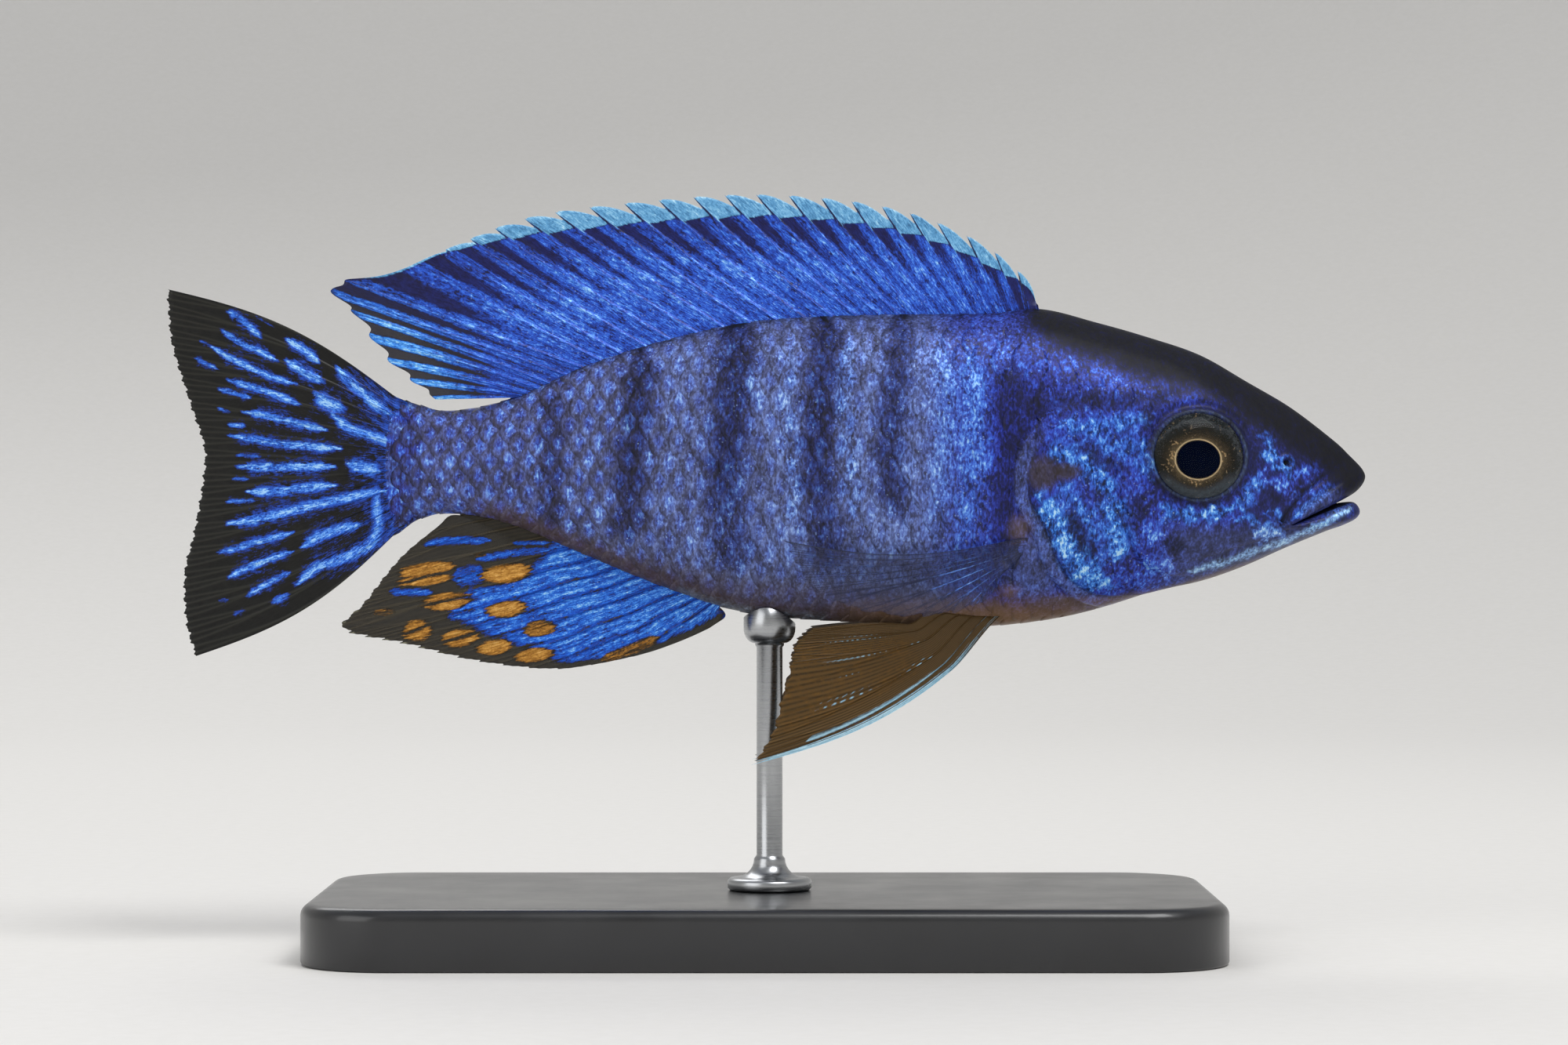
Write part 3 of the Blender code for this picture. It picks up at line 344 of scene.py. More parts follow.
marks = {
    "blackTop": ((24.0, 15.6), (27.1, 14.6), (29.75, 13.4), (32.1, 12.3), (35.0, 11.5), (37.9, 10.3), (40.8, 9.5),
                 (42.8, 8.9), (45.2, 7.9), (47.2, 6.5), (49.5, 4.9), (51.8, 3.6), (53.9, 2.2), (55.6, 0.9),
                 (57.4, -0.6), (60.5, -3.0)),
    "bars": (  # line down the bar, half its width, how dark
        (((-21.4, 7.5), (-21.7, 2.0), (-21.6, -6.5)), 1.2, 0.55),
        (((-12.4, 12.0), (-13.4, 3.0), (-13.9, -7.0)), 1.5, 0.85),
        (((-2.8, 15.0), (-3.5, 6.1), (-4.1, -2.0), (-3.0, -10.5)), 1.9, 0.95),
        (((6.2, 15.6), (5.6, 7.7), (5.1, 1.2), (5.8, -5.0), (6.5, -10.0)), 1.6, 0.95),
        (((13.9, 15.6), (13.1, 9.3), (12.4, 1.2), (13.5, -5.0)), 1.4, 0.8),
        (((24.4, 10.5), (24.9, 7.0), (25.4, 4.2), (25.2, 1.3), (24.4, -1.6), (23.6, -4.5)), 1.7, 0.66),
    ),
    "brightColumns": (  # bright streaks beside the bars
        (((2.6, 12.0), (2.3, 6.0), (2.7, 0.0), (3.0, -6.0)), 0.8, 0.5),
        (((8.4, 13.0), (8.1, 8.0), (8.3, 3.0), (9.0, -5.0)), 0.9, 0.6),
        (((17.6, 13.0), (17.9, 6.0), (17.3, -1.0), (17.0, -6.5)), 1.1, 0.35),
        (((20.6, 12.5), (20.9, 5.0), (20.2, -3.0), (19.6, -7.0)), 1.2, 0.32),
    ),
    "cyan": (  # line, half width, strength, on the head
        (((27.6, -2.6), (28.4, -4.4), (29.3, -6.0), (30.4, -8.0), (32.0, -9.9), (34.0, -11.4)), 1.15, 1.0),
        (((34.7, -2.6), (34.9, -4.8), (35.2, -6.8), (35.6, -8.9)), 1.05, 0.85),
        (((28.3, 1.7), (30.0, 1.5), (32.1, 0.5), (33.7, -1.0), (34.6, -2.6)), 0.8, 0.8),
        (((29.7, -1.4), (30.9, -3.2), (32.4, -5.2), (33.0, -7.2)), 0.55, 0.6),
        (((29.7, 4.8), (32.1, 4.1), (33.8, 4.5), (36.1, 4.8), (38.3, 5.4)), 0.6, 0.6),
        (((33.0, 2.9), (35.0, 2.3), (37.2, 2.4), (38.2, 1.0), (38.7, -0.8)), 0.8, 0.5),
        (((39.3, -3.7), (40.8, -4.2), (42.8, -4.5), (44.9, -4.2), (46.9, -3.8)), 0.5, 0.8),
        (((49.7, 3.5), (50.9, 3.3), (50.5, 1.9), (51.5, 0.6), (53.2, -0.1)), 0.45, 0.85),
        (((49.6, -0.7), (48.7, -1.8), (48.2, -2.9), (47.8, -4.1)), 0.6, 0.6),
        (((47.6, -4.7), (49.5, -5.1)), 0.36, 0.75),
        (((50.4, -3.9), (52.0, -4.9)), 0.34, 0.6),
        (((49.2, -6.7), (50.9, -6.1), (52.4, -6.9)), 0.65, 0.95),
    ),
    "violet": (  # royal blue to violet patches
        (((49.8, -0.3), (51.3, -1.4), (52.8, -0.9), (53.9, 0.1), (55.6, 0.4), (56.3, -0.5), (55.0, -1.8), (53.3, -2.6),
          (51.6, -2.2)), 0.6, 0.8),
        (((37.2, -5.8), (38.6, -6.5), (40.0, -6.2)), 0.9, 0.75),
        (((37.2, -8.9), (39.2, -9.7), (41.0, -9.6)), 0.8, 0.75),
        (((31.0, -9.3), (32.6, -11.0)), 0.9, 0.65),
        (((41.5, 8.2), (39.0, 8.0), (36.0, 9.2), (33.0, 10.6), (29.5, 12.0)), 1.5, 0.56),
    ),
    "jawLine": ((59.2, -3.8), (57.6, -4.65), (56.0, -5.45), (54.0, -6.4), (51.9, -7.3), (49.4, -8.05), (47.5, -8.8),
                (45.2, -9.4), (42.5, -10.0)),
    "lipBlue": ((58.2, -1.1), (56.2, -2.4), (54.3, -3.8), (53.0, -4.9)),
    "lipGrey": ((58.0, -2.2), (55.9, -3.5), (54.2, -4.7)),
    "brown": ((27.7, -0.3, 1.3, 1.45), (29.9, -0.1, 1.3, 0.7)),
    "dusky": (  # blurred dark areas on the head
        (((25.5, 7.5), (28.0, 6.6), (31.5, 6.9), (35.0, 7.0), (38.5, 7.3)), 0.9, 0.5),
        (((38.0, 4.0), (39.0, 7.0), (42.0, 8.3)), 0.7, 0.5),
        (((30.2, -4.2), (31.3, -6.0), (32.8, -8.6)), 0.7, 0.6),
        (((31.0, 3.0), (34.0, 0.9), (36.5, 0.2)), 0.6, 0.45),
        (((37.2, -2.4), (37.6, -5.0)), 0.6, 0.45),
        (((48.6, 3.5), (49.2, 1.5), (48.9, -0.4)), 0.5, 0.5),
        (((50.4, -1.2), (51.6, -3.0), (49.6, -3.4)), 0.5, 0.4),
        (((54.2, -1.0), (52.6, -3.8)), 0.4, 0.45),
        (((50.7, -2.5), (51.7, -3.0)), 0.5, 0.6),
        # this stroke runs along the upper lip's groove: painted shade in that crease
        (((56.6, 0.0), (54.4, -1.9), (52.6, -4.0), (52.0, -5.3)), 0.34, 0.75),
        (((39.9, -7.2), (42.0, -7.6)), 0.7, 0.6),
    ),
    "bellyLine": ((-38, -6.2), (-30, -6.2), (-17, -7.6), (-4, -10.8), (5, -11.6), (20, -12.6), (30, -14.6)),
    "tailStreaks": (  # blue streaks that start on the root of the tail
        (((-35.0, 2.8), (-36.7, 1.9), (-38.1, 3.0), (-39.8, 3.6)), 0.6, 0.6),
        (((-35.4, 5.6), (-37.4, 5.6), (-38.9, 6.5)), 0.6, 0.6),
        (((-36.4, -1.4), (-37.9, -2.1), (-39.5, -2.1)), 0.6, 0.65),
        (((-37.2, -3.0), (-38.4, -5.0), (-38.7, -6.2)), 0.6, 0.55),
    ),
}


def markings(x, z, vx, vz):
    # x, z on the body, vx, vz on the side view; every mask runs 0 to 1
    out = {key: np.zeros(np.shape(x)) for key in ("blue", "cyan", "dark", "grey", "warm", "pale")}
    section = sectionAt(np.clip(x, -38, 50))
    top, low = section[..., 1], section[..., 5]
    headShare = ease(vx, 24.0, 29.0)
    # trunk: lavender grey between dark bars, bluer towards the head and the stalk
    bar = np.zeros(np.shape(x))
    fade = ease(vz, -12.5, -8.5) * (0.7 + 0.3 * ease(vz, -6, 0))
    for line, width, much in marks["bars"]:
        bar = np.maximum(bar, much * brush(vx + 0.3 * np.sin(1.7 * vz + vx), vz, line, width, soft=0.8, taper=0.05))
    bar = bar * np.where(vx < 23, fade, 1.0) * (0.9 + 0.1 * np.sin(2.9 * vz + 1.3 * vx))
    near = ease(vx, 14.0, 20.5)
    rear = 1 - ease(vx, -30.0, -14.0)
    tail = 1 - ease(vx, -37.6, -33.5)
    grey = (0.88 - 0.72 * near - 0.2 * rear) * (1 - 0.85 * bar) * (1 - 0.8 * headShare) * (1 - 0.5 * tail)
    bellyLine = np.array(marks["bellyLine"])
    line = np.interp(vx, bellyLine[:, 0], bellyLine[:, 1])
    lowBelly = 1 - ease(vz, line - 1.4, line + 1.4)
    blue = 0.56 - 0.06 * near - 0.04 * rear - 0.13 * bar
    for line, width, much in marks["brightColumns"]:
        stroke = brush(vx, vz, line, width, soft=0.8) * much
        blue = blue + 0.3 * stroke
        out["cyan"] = np.maximum(out["cyan"], 0.5 * stroke)
        grey = grey * (1 - 0.4 * stroke)
    blue = blue * (1 - 0.62 * lowBelly) * (1 - 0.3 * ease(vz, 12.8, 15.5) * (1 - headShare))
    out["dark"] = 0.7 * bar + 0.04 * lowBelly + 0.5 * ease(z, top - 1.0, top - 0.1) + 0.35 * tail
    # head
    above = toLine(vx, vz, marks["blackTop"])
    black = ease(above[0] * above[1], -2.4, 0.9) * ease(vx, 24.0, 28.0)
    blue = blue * (1 - headShare) + 0.43 * headShare
    napeGlitter = headShare * ease(vz, 4.5, 8.0) * (1 - ease(vx, 40.0, 46.5))
    blue = blue + 0.03 * napeGlitter
    behind = ease(vx, 21.0, 24.0) * (1 - ease(vx, 26.5, 30.0)) * (1 - ease(vz, 8.0, 11.0))
    blue = blue - 0.21 * behind
    grey = grey * (1 - behind)
    jawPlain = ease(vx, 38.0, 43.0) * (1 - ease(vz, -7.0, -4.6))
    snout = ease(vx, 47.0, 49.5)
    blue = blue * (1 - 0.5 * jawPlain) * (1 - 0.7 * snout)
    r = eyeAway(vx, vz)
    blue = blue * (0.25 + 0.75 * ease(r, 4.9, 6.4))
    # uneven edges for the strokes of the head
    wx = vx + 0.34 * np.sin(3.1 * vz + 1.7 * vx) + 0.22 * np.sin(6.3 * vz - 4.1 * vx + 1.0)
    wz = vz + 0.34 * np.sin(2.7 * vx - 2.1 * vz + 2.0) + 0.22 * np.sin(5.7 * vx + 4.9 * vz)
    patch = 0.5 + 0.25 * np.sin(4.7 * vx + 2.3 * vz) + 0.25 * np.sin(3.9 * vz - 3.3 * vx + 0.6)
    for line, width, much in marks["cyan"]:
        stroke = brush(wx, wz, line, width * 1.15, soft=1.0) * (0.62 + 0.38 * patch)
        blue = np.maximum(blue, stroke * (0.46 + 0.4 * much))
        out["cyan"] = np.maximum(out["cyan"], stroke * much)
    for line, width, much in marks["violet"]:
        stroke = brush(wx, wz, line, width * 1.1, soft=0.95)
        blue = np.maximum(blue, stroke * much)
    blue = blue + 0.24 * headShare * (patch - 0.5) * (vx < 47)
    dusky = np.zeros(np.shape(x))
    for line, width, much in marks["dusky"]:
        dusky = np.maximum(dusky, much * brush(vx, vz, line, width, soft=0.9))
    blue = blue * (1 - 0.6 * dusky)
    out["dark"] = np.maximum(out["dark"], dusky)
    out["dark"] = np.maximum(out["dark"], 0.5 * (1 - ease(r, 4.9, 6.0)) * headShare)
    grey = grey + headShare * (0.04 + 0.5 * jawPlain + 0.04 * snout)
    for cx, cz, rx, rz in marks["brown"]:
        patch = spot(vx, vz, cx, cz, rx, rz, 0.6)
        out["warm"] = np.maximum(out["warm"], 0.14 * patch)
        out["dark"] = np.maximum(out["dark"], 0.58 * patch)
        blue = blue * (1 - 0.8 * patch)
        grey = np.maximum(grey, 0.6 * patch)
    # throat and belly, warm towards the pelvic fins
    throatLine = np.interp(vx, [26, 34, 40, 50, 58], [-12.7, -12.7, -11.7, -8.9, -6.5])
    throat = headShare * (1 - ease(vz - throatLine, -0.5, 0.4))
    blue = blue * (1 - 0.8 * throat)
    grey = grey * (1 - throat) + 0.7 * throat
    out["warm"] = np.maximum(out["warm"], 0.3 * throat)
    out["dark"] = np.maximum(out["dark"], 0.25 * throat)
    bellyWarm = (1 - ease(vz, -15.4, -11.6)) * ease(vx, 2.0, 12.0) * (1 - ease(vx, 30.0, 36.0))
    out["warm"] = np.maximum(out["warm"], 0.6 * bellyWarm)
    out["warm"] = np.maximum(out["warm"], 0.08 * lowBelly * (1 - headShare))
    shoulder = spot(vx, vz, 25.5, -5.9, 0.9, 1.2, 0.9)
    blue = blue * (1 - 0.6 * shoulder)
    grey = np.maximum(grey, 0.6 * shoulder)
    out["warm"] = np.maximum(out["warm"], 0.26 * shoulder)
    out["dark"] = np.maximum(out["dark"], 0.42 * shoulder)
    out["warm"] = np.maximum(out["warm"], 0.3 * spot(vx, vz, 24.4, -12.2, 1.1, 0.6, 0.9))
    grey = grey + 0.5 * lowBelly * (1 - headShare)
    rim = (1 - ease(z - low, 0.8, 2.6)) * (1 - headShare) * ease(vx, -32.0, -26.0)
    blue = blue * (1 - 0.8 * rim)
    grey = np.maximum(grey, 0.75 * rim)
    out["warm"] = np.maximum(out["warm"], 0.16 * rim)
    out["dark"] = np.maximum(out["dark"], 0.16 * rim)
    # the skin flap behind the gill cover, lilac grey
    away, side, share = toLine(vx, vz, head["coverEdge"])
    inside = away * side
    flap = (vx < 48) * ease(inside, -1.5, -1.25) * (1 - ease(inside, -0.15, 0.0)) * ease(share, 0.08, 0.2)
    flap = flap * (1 - ease(share, 0.6, 0.74))
    grey = grey * (1 - flap) + 0.55 * flap
    out["dark"] = out["dark"] * (1 - 0.6 * flap)
    blue = blue * (1 - flap) + 0.42 * flap
    lilac = spot(vx, vz, 27.2, -9.4, 3.0, 4.4, 0.6, -0.3) * (inside < 0.0)
    grey = np.maximum(grey, 0.62 * lilac)
    blue = np.where(lilac > 0, blue * (1 - lilac) + 0.4 * lilac, blue)
    # a thin dark line along the cover's rim: painted shade at the foot of the step the cover makes
    edge = np.exp(-((inside + 0.05) / 0.16) ** 2) * (vx < 48) * ease(share, 0.1, 0.2)
    out["dark"] = np.maximum(out["dark"], 0.55 * edge)
    # jaw: the bright line under the mouth, blue on the lip
    line = brush(vx + 0.3 * (wx - vx), vz + 0.3 * (wz - vz), marks["jawLine"], 0.3, soft=0.9, taper=0.1)
    out["pale"] = np.maximum(out["pale"], 0.6 * line)
    out["cyan"] = np.maximum(out["cyan"], line)
    blue = np.maximum(blue, 0.7 * line)
    lip = brush(vx, vz, marks["lipGrey"], 0.75, soft=0.8)
    blue = blue * (1 - lip) + 0.24 * lip
    grey = grey * (1 - lip) + 0.5 * lip
    out["dark"] = np.maximum(out["dark"], 0.25 * lip)
    lip = brush(vx, vz, marks["lipBlue"], 0.45, soft=0.9)
    blue = np.maximum(blue, 0.56 * lip)
    out["cyan"] = np.maximum(out["cyan"], 0.45 * lip)
    lowLip = spot(vx, vz, 58.0, -4.1, 1.9, 0.75, 0.4, 0.5)
    grey = np.maximum(grey, 0.4 * lowLip)
    blue = np.maximum(blue, 0.22 * lowLip)
    out["cyan"] = np.maximum(out["cyan"], 0.45 * lowLip)
    nostril = np.hypot(vx - head["nostril"][0], vz - head["nostril"][1])
    ring = np.exp(-((nostril - head["nostrilRadius"] - 0.22) / 0.16) ** 2)
    blue = np.maximum(blue, 0.62 * ring)
    out["cyan"] = np.maximum(out["cyan"], 0.6 * ring)
    out["dark"] = np.maximum(out["dark"] * (1 - 0.8 * ring), 1 - ease(nostril, 0.2, 0.45))
    rim = np.exp(-((r - 4.74) / 0.14) ** 2)
    out["pale"] = np.maximum(out["pale"], 0.12 * rim)
    out["dark"] = np.maximum(out["dark"], 0.95 * black) * (1 - 0.6 * line)
    blue = blue * (1 - 0.9 * black)
    grey = grey * (1 - 0.7 * black)
    out["warm"] = out["warm"] * (1 - black)
    out["cyan"] = out["cyan"] * (1 - black)
    # pale line at the root of the anal fin, and the streaks of the tail fin where they start on the body
    out["pale"] = np.maximum(out["pale"], 0.2 * (1 - ease(z - low, 0.3, 1.1)) * (vx < 6) * (vx > -9))
    for line, width, much in marks["tailStreaks"]:
        stroke = brush(vx, vz, line, width, soft=0.8)
        blue = np.maximum(blue, stroke * much)
        out["dark"] = out["dark"] * (1 - 0.8 * stroke)
        grey = grey * (1 - stroke)
    out["blue"], out["grey"] = blue, grey
    return {key: np.clip(value, 0, 1) for key, value in out.items()}


# materials of the body

pigmentGrains = {  # size in mm, amount, swirl; real grains are under 0.1 mm, the finest here is drawn coarser
    "clouds": (1.9, 0.75, 0.3),
    "groups": (0.62, 1.2, 0.7),
    "grains": (0.23, 1.7, 0.5),
}


def pigment(tree, tall=1.0, size=1.0, place=None):
    # uneven pigment around zero, longer upwards where tall is above 1, and its finest grain by itself
    place = place or add(tree, "TexCoord", out="Object")
    total, middle = 0.0, 0.0
    for across, amount, swirl in pigmentGrains.values():
        scale = 1 / (across * size * mm)
        spread = add(tree, "Mapping", {"Vector": place, "Scale": (scale, scale, scale / tall)})
        noise = add(tree, "TexNoise", {"Vector": spread, "Scale": 1.0, "Detail": 1.5, "Distortion": swirl})
        total = add(tree, "Math", {0: noise, 1: amount, 2: total}, operation="MULTIPLY_ADD")
        middle += 0.5 * amount
    return add(tree, "Math", {0: total, 1: middle}, operation="SUBTRACT"), noise


def paintedGlints(tree, blue, much):
    # painted glints for single bright crystals: one in six of the cells of 0.28 mm carries one, as a pale spot in the
    # colour
    place = add(tree, "TexCoord", out="Object")
    spread = add(tree, "Mapping", {"Vector": place, "Scale": [1 / (0.28 * mm)] * 3})
    cells = add(tree, "TexVoronoi", {"Vector": spread, "Scale": 1.0})
    colour = add(tree, "TexVoronoi", {"Vector": spread, "Scale": 1.0}, out=1)
    lucky = add(tree, "Math", {0: add(tree, "SeparateColor", {0: colour}), 1: 0.83}, operation="GREATER_THAN")
    near = add(tree, "MapRange", {"Value": cells, "From Min": 0.4, "From Max": 0.15}, interpolation_type="SMOOTHSTEP")
    seen = add(tree, "MapRange", {"Value": blue, "From Min": 0.3, "From Max": 0.7, "To Max": much})
    both = add(tree, "Math", {0: lucky, 1: near}, operation="MULTIPLY")
    return add(tree, "Math", {0: both, 1: seen}, operation="MULTIPLY")


skinColours = {
    "royal": ((0.0, "#10122c"), (0.25, "#1a1f5e"), (0.42, "#253196"), (0.6, "#2f52c8"), (0.78, "#4b82e6"),
              (1.0, "#8fc4f9")),
    "cyan": ((0.0, "#101f40"), (0.25, "#174286"), (0.45, "#2468c8"), (0.64, "#3f90ea"), (0.84, "#74bbf6"),
             (1.0, "#bfe6fc")),
    "grey": ((0.0, "#33364a"), (0.25, "#454d72"), (0.45, "#5a6899"), (0.64, "#6f83bf"), (0.84, "#8ea6dd"),
             (1.0, "#b9cdf2")),
    "warm": "#ad8654",
    "dark": "#101118",
    "pale": "#b4dcea",
    "glint": "#a8c8fb",
}


def cichlidSkin(name):
    # live fish skin under slime: crystals in it throw back blue and black pigment lies between them,
    # so the eye sees a wet, fine-grained glitter; its brightest sparks are painted glints in the colour
    made, tree, shader = newMaterial(name, Roughness=0.4, IOR=1.38, Specular_IOR_Level=0.28, Coat_Weight=0.08,
                                     Coat_Roughness=0.2, Coat_IOR=1.34)
    mask = {key: add(tree, "Attribute", out="Fac", attribute_name=key)
            for key in ("blue", "cyan", "dark", "grey", "warm", "pale")}
    uneven, fine = pigment(tree, 1.9)
    much = add(tree, "Math", {0: mask["blue"], 1: 0.8, 2: 0.28}, operation="MULTIPLY_ADD")
    much = add(tree, "Math", {0: mask["cyan"], 1: 0.35, 2: much}, operation="MULTIPLY_ADD")
    level = add(tree, "Math", {0: mask["blue"], 1: 0.72, 2: 0.12}, operation="MULTIPLY_ADD")
    level = add(tree, "Math", {0: uneven, 1: much, 2: level}, operation="MULTIPLY_ADD")
    royal = add(tree, "ValToRGB", {0: level}, stops=skinColours["royal"])
    cyan = add(tree, "ValToRGB", {0: level}, stops=skinColours["cyan"])
    grey = add(tree, "ValToRGB", {0: level}, stops=skinColours["grey"])
    colour = add(tree, "Mix", {0: mask["cyan"], 6: royal, 7: cyan}, 2, data_type="RGBA")
    colour = add(tree, "Mix", {0: mask["grey"], 6: colour, 7: grey}, 2, data_type="RGBA")
    colour = add(tree, "Mix", {0: mask["warm"], 6: colour, 7: skinColours["warm"]}, 2, data_type="RGBA")
    deep = add(tree, "Math", {0: uneven, 1: -0.5, 2: mask["dark"]}, operation="MULTIPLY_ADD")
    deep = add(tree, "Math", {0: deep, 1: mask["dark"]}, operation="MULTIPLY", use_clamp=True)
    deep = add(tree, "Math", {0: deep, 1: 0.5}, operation="POWER", use_clamp=True)
    colour = add(tree, "Mix", {0: deep, 6: colour, 7: skinColours["dark"]}, 2, data_type="RGBA")
    lace = add(tree, "Math", {0: uneven, 1: 0.9, 2: 0.5}, operation="MULTIPLY_ADD", use_clamp=True)
    lace = add(tree, "Math", {0: lace, 1: mask["pale"]}, operation="MULTIPLY", use_clamp=True)
    colour = add(tree, "Mix", {0: lace, 6: colour, 7: skinColours["pale"]}, 2, data_type="RGBA")
    # painted glints: pale spots mixed into the colour where the skin is blue
    glint = paintedGlints(tree, mask["blue"], 0.6)
    colour = add(tree, "Mix", {0: glint, 6: colour, 7: skinColours["glint"]}, 2, data_type="RGBA")
    tree.links.new(colour, shader.inputs["Base Color"])
    shine = add(tree, "MapRange", {"Value": level, "From Min": 0.45, "From Max": 0.85, "To Max": 0.35})
    tree.links.new(shine, shader.inputs["Metallic"])
    rough = add(tree, "MapRange", {"Value": fine, "From Min": 0.3, "From Max": 0.7, "To Min": 0.3, "To Max": 0.5})
    rough = add(tree, "Math", {0: deep, 1: 0.3, 2: rough}, operation="MULTIPLY_ADD", use_clamp=True)
    tree.links.new(rough, shader.inputs["Roughness"])
    bump = add(tree, "Bump", {"Height": fine, "Strength": 0.7, "Distance": 0.03 * mm})
    tree.links.new(bump, shader.inputs["Normal"])
    return made


# skin: one closed surface from the mouth to the root of the tail fin

def lengthRows():
    rows = [smoothAt(stationValues, np.concatenate([np.linspace(0, 5, 44, endpoint=False),
                                                    np.linspace(5, body["firstUpright"], 74, endpoint=False)]))]
    for front, rear, step in ((38.8, 24.0, 0.18), (24.0, -38.6, 0.44)):
        count = round((front - rear) / step)
        rows.append(sectionAt(np.linspace(front, rear, count, endpoint=False)))
    rows.append(sectionAt(np.array([-38.6])))
    return np.concatenate(rows)


def surfaceNormals(points):
    # outward directions of a grid of rings
    along = np.gradient(points, axis=0)
    around = (np.roll(points, -1, 1) - np.roll(points, 1, 1)) / 2
    found = np.cross(around, along)
    size = np.linalg.norm(found, axis=-1, keepdims=True)
    found = found / np.maximum(size, 1e-9)
    middle = points.mean(1, keepdims=True)
    flip = np.sign((found * (points - middle)).sum(-1).mean())
    return found * flip


def unwrap(x, arc, left):
    # place on the flat skin: snout to the right, one half above the other
    u = 0.02 + 0.96 * (x + 40) / 102
    v = 0.25 + arc / 102 + 0.5 * left
    return u, v


def makeSkin():
    rows = lengthRows()
    turn = evenTurns(body["around"])
    points = ringPoints(rows, turn)
    normals = surfaceNormals(points)
    vx, vz = onView(points[..., 0], points[..., 2])
    facing = ease(np.abs(normals[..., 1]), 0.12, 0.5)
    lift = relief(vx, vz) * facing
    coat = body["coatDepth"] * (1 - ease(vx, 38.0, 46.0))
    shaped = points + normals * (lift - coat)[..., None]
    masks = markings(points[..., 0], points[..., 2], vx, vz)
    # the rows inside the mouth are painted near black, without blue or pale: painted shade in the mouth's hollow
    depth = np.zeros(points.shape[:2])
    depth[:9] = 1
    masks["dark"] = np.maximum(masks["dark"], 0.9 * depth)
    masks["blue"] = masks["blue"] * (1 - depth)
    masks["pale"] = masks["pale"] * (1 - depth)
    faces = gridFaces(len(rows), len(turn), closed=True)
    columns = len(turn)
    caps = []
    for ring, outward in ((0, False), (len(rows) - 1, True)):
        for k in range(columns // 2 - 1):
            quad = (ring * columns + k, ring * columns + k + 1, ring * columns + columns - k - 2,
                    ring * columns + columns - k - 1)
            caps.append(quad if outward else quad[::-1])
    faces = np.concatenate([faces, np.array(caps)])
    # flat places: length by the ring's middle, arc measured from the widest line of the side
    gaps = np.linalg.norm(points - np.roll(points, 1, 1), axis=-1)
    run = np.cumsum(gaps, 1) - gaps[:, :1]
    total = gaps.sum(1, keepdims=True)
    lengthAt = points[..., 0].mean(1, keepdims=True) + 0 * run
    corner = faces.ravel()
    arcLeft = (total / 4 - run).ravel()
    arcRight = (run - 3 * total / 4).ravel()
    column = corner % columns
    leftFace = (faces % columns).mean(1) < columns / 2
    wraps = ((faces % columns).max(1) - (faces % columns).min(1)) > columns / 2
    left = np.repeat(leftFace & ~wraps, 4)
    arc = np.where(left, arcLeft[corner], arcRight[corner])
    closing = np.repeat(wraps, 4) & (column == 0)
    arc = np.where(closing, (total / 4).repeat(columns, 1).ravel()[corner], arc)
    u, v = unwrap(lengthAt.ravel()[corner], arc, left)
    skin = buildMesh("fish_skin", shaped, faces, masks, np.stack([u, v], -1), cichlidSkin("cichlid skin"))
    settle(skin, "skin", "head", "trunk", "tail_stalk", "upper_lip", "lower_jaw", "gill_cover_right", "gill_cover_left")
    print("skin", len(faces) * 2)
    return skin


# scales: thin plates, each rooted under the one before it

scales = {
    "length": 2.0,          # from one scale of a row to the next
    "rowHeight": ((-38, 1.30), (-30, 1.5), (-22, 1.62), (-10, 1.95), (5, 2.2), (27, 2.2)),
    "smallLength": 1.2,     # nape, cheek and gill cover
    "smallRow": 1.12,
    "thickness": 0.05,
    "tilt": 0.036,          # rise towards the rear edge, mm per mm
}


class Flank:
    # the side of the body by length and by arc from its widest line, up is positive
    def __init__(self):
        self.x = np.linspace(-39, 50, 900)
        section = sectionAt(self.x)
        turn = np.linspace(0, math.pi, 400)
        ring = ringPoints(section, turn)
        run = np.concatenate([np.zeros((len(self.x), 1)),
                              np.cumsum(np.linalg.norm(np.diff(ring, axis=1), axis=-1), 1)], 1)
        middle = run[:, 199:201].mean(1, keepdims=True)
        self.up = middle[:, 0]
        self.down = run[:, -1] - self.up
        self.shares = np.linspace(-1, 1, 401)
        self.table = np.zeros((len(self.x), 401, 3))
        for k in range(len(self.x)):
            arc = middle[k] - run[k]
            wanted = np.where(self.shares < 0, self.shares * self.down[k], self.shares * self.up[k])
            for axis in range(3):
                self.table[k, :, axis] = np.interp(wanted, arc[::-1], ring[k, ::-1, axis])

    def reach(self, x):
        return np.interp(x, self.x, self.up), np.interp(x, self.x, self.down)

    def at(self, x, arc):
        # points on the left side; an arc past the back or belly comes down on the other side
        up, down = self.reach(x)
        share = np.where(arc < 0, arc / down, arc / up)
        over = np.abs(share) > 1
        share = np.where(over, np.sign(share) * (2 - np.abs(share)), share)
        i = np.clip((x - self.x[0]) / (self.x[1] - self.x[0]), 0, len(self.x) - 1.001)
        j = np.clip((share + 1) * 200, 0, 399.999)
        i0, j0 = i.astype(int), j.astype(int)
        fi, fj = (i - i0)[..., None], (j - j0)[..., None]
        t = self.table
        found = ((t[i0, j0] * (1 - fj) + t[i0, j0 + 1] * fj) * (1 - fi)
                 + (t[i0 + 1, j0] * (1 - fj) + t[i0 + 1, j0 + 1] * fj) * fi)
        found[..., 1] = np.where(over, -found[..., 1], found[..., 1])
        return found


flank = Flank()


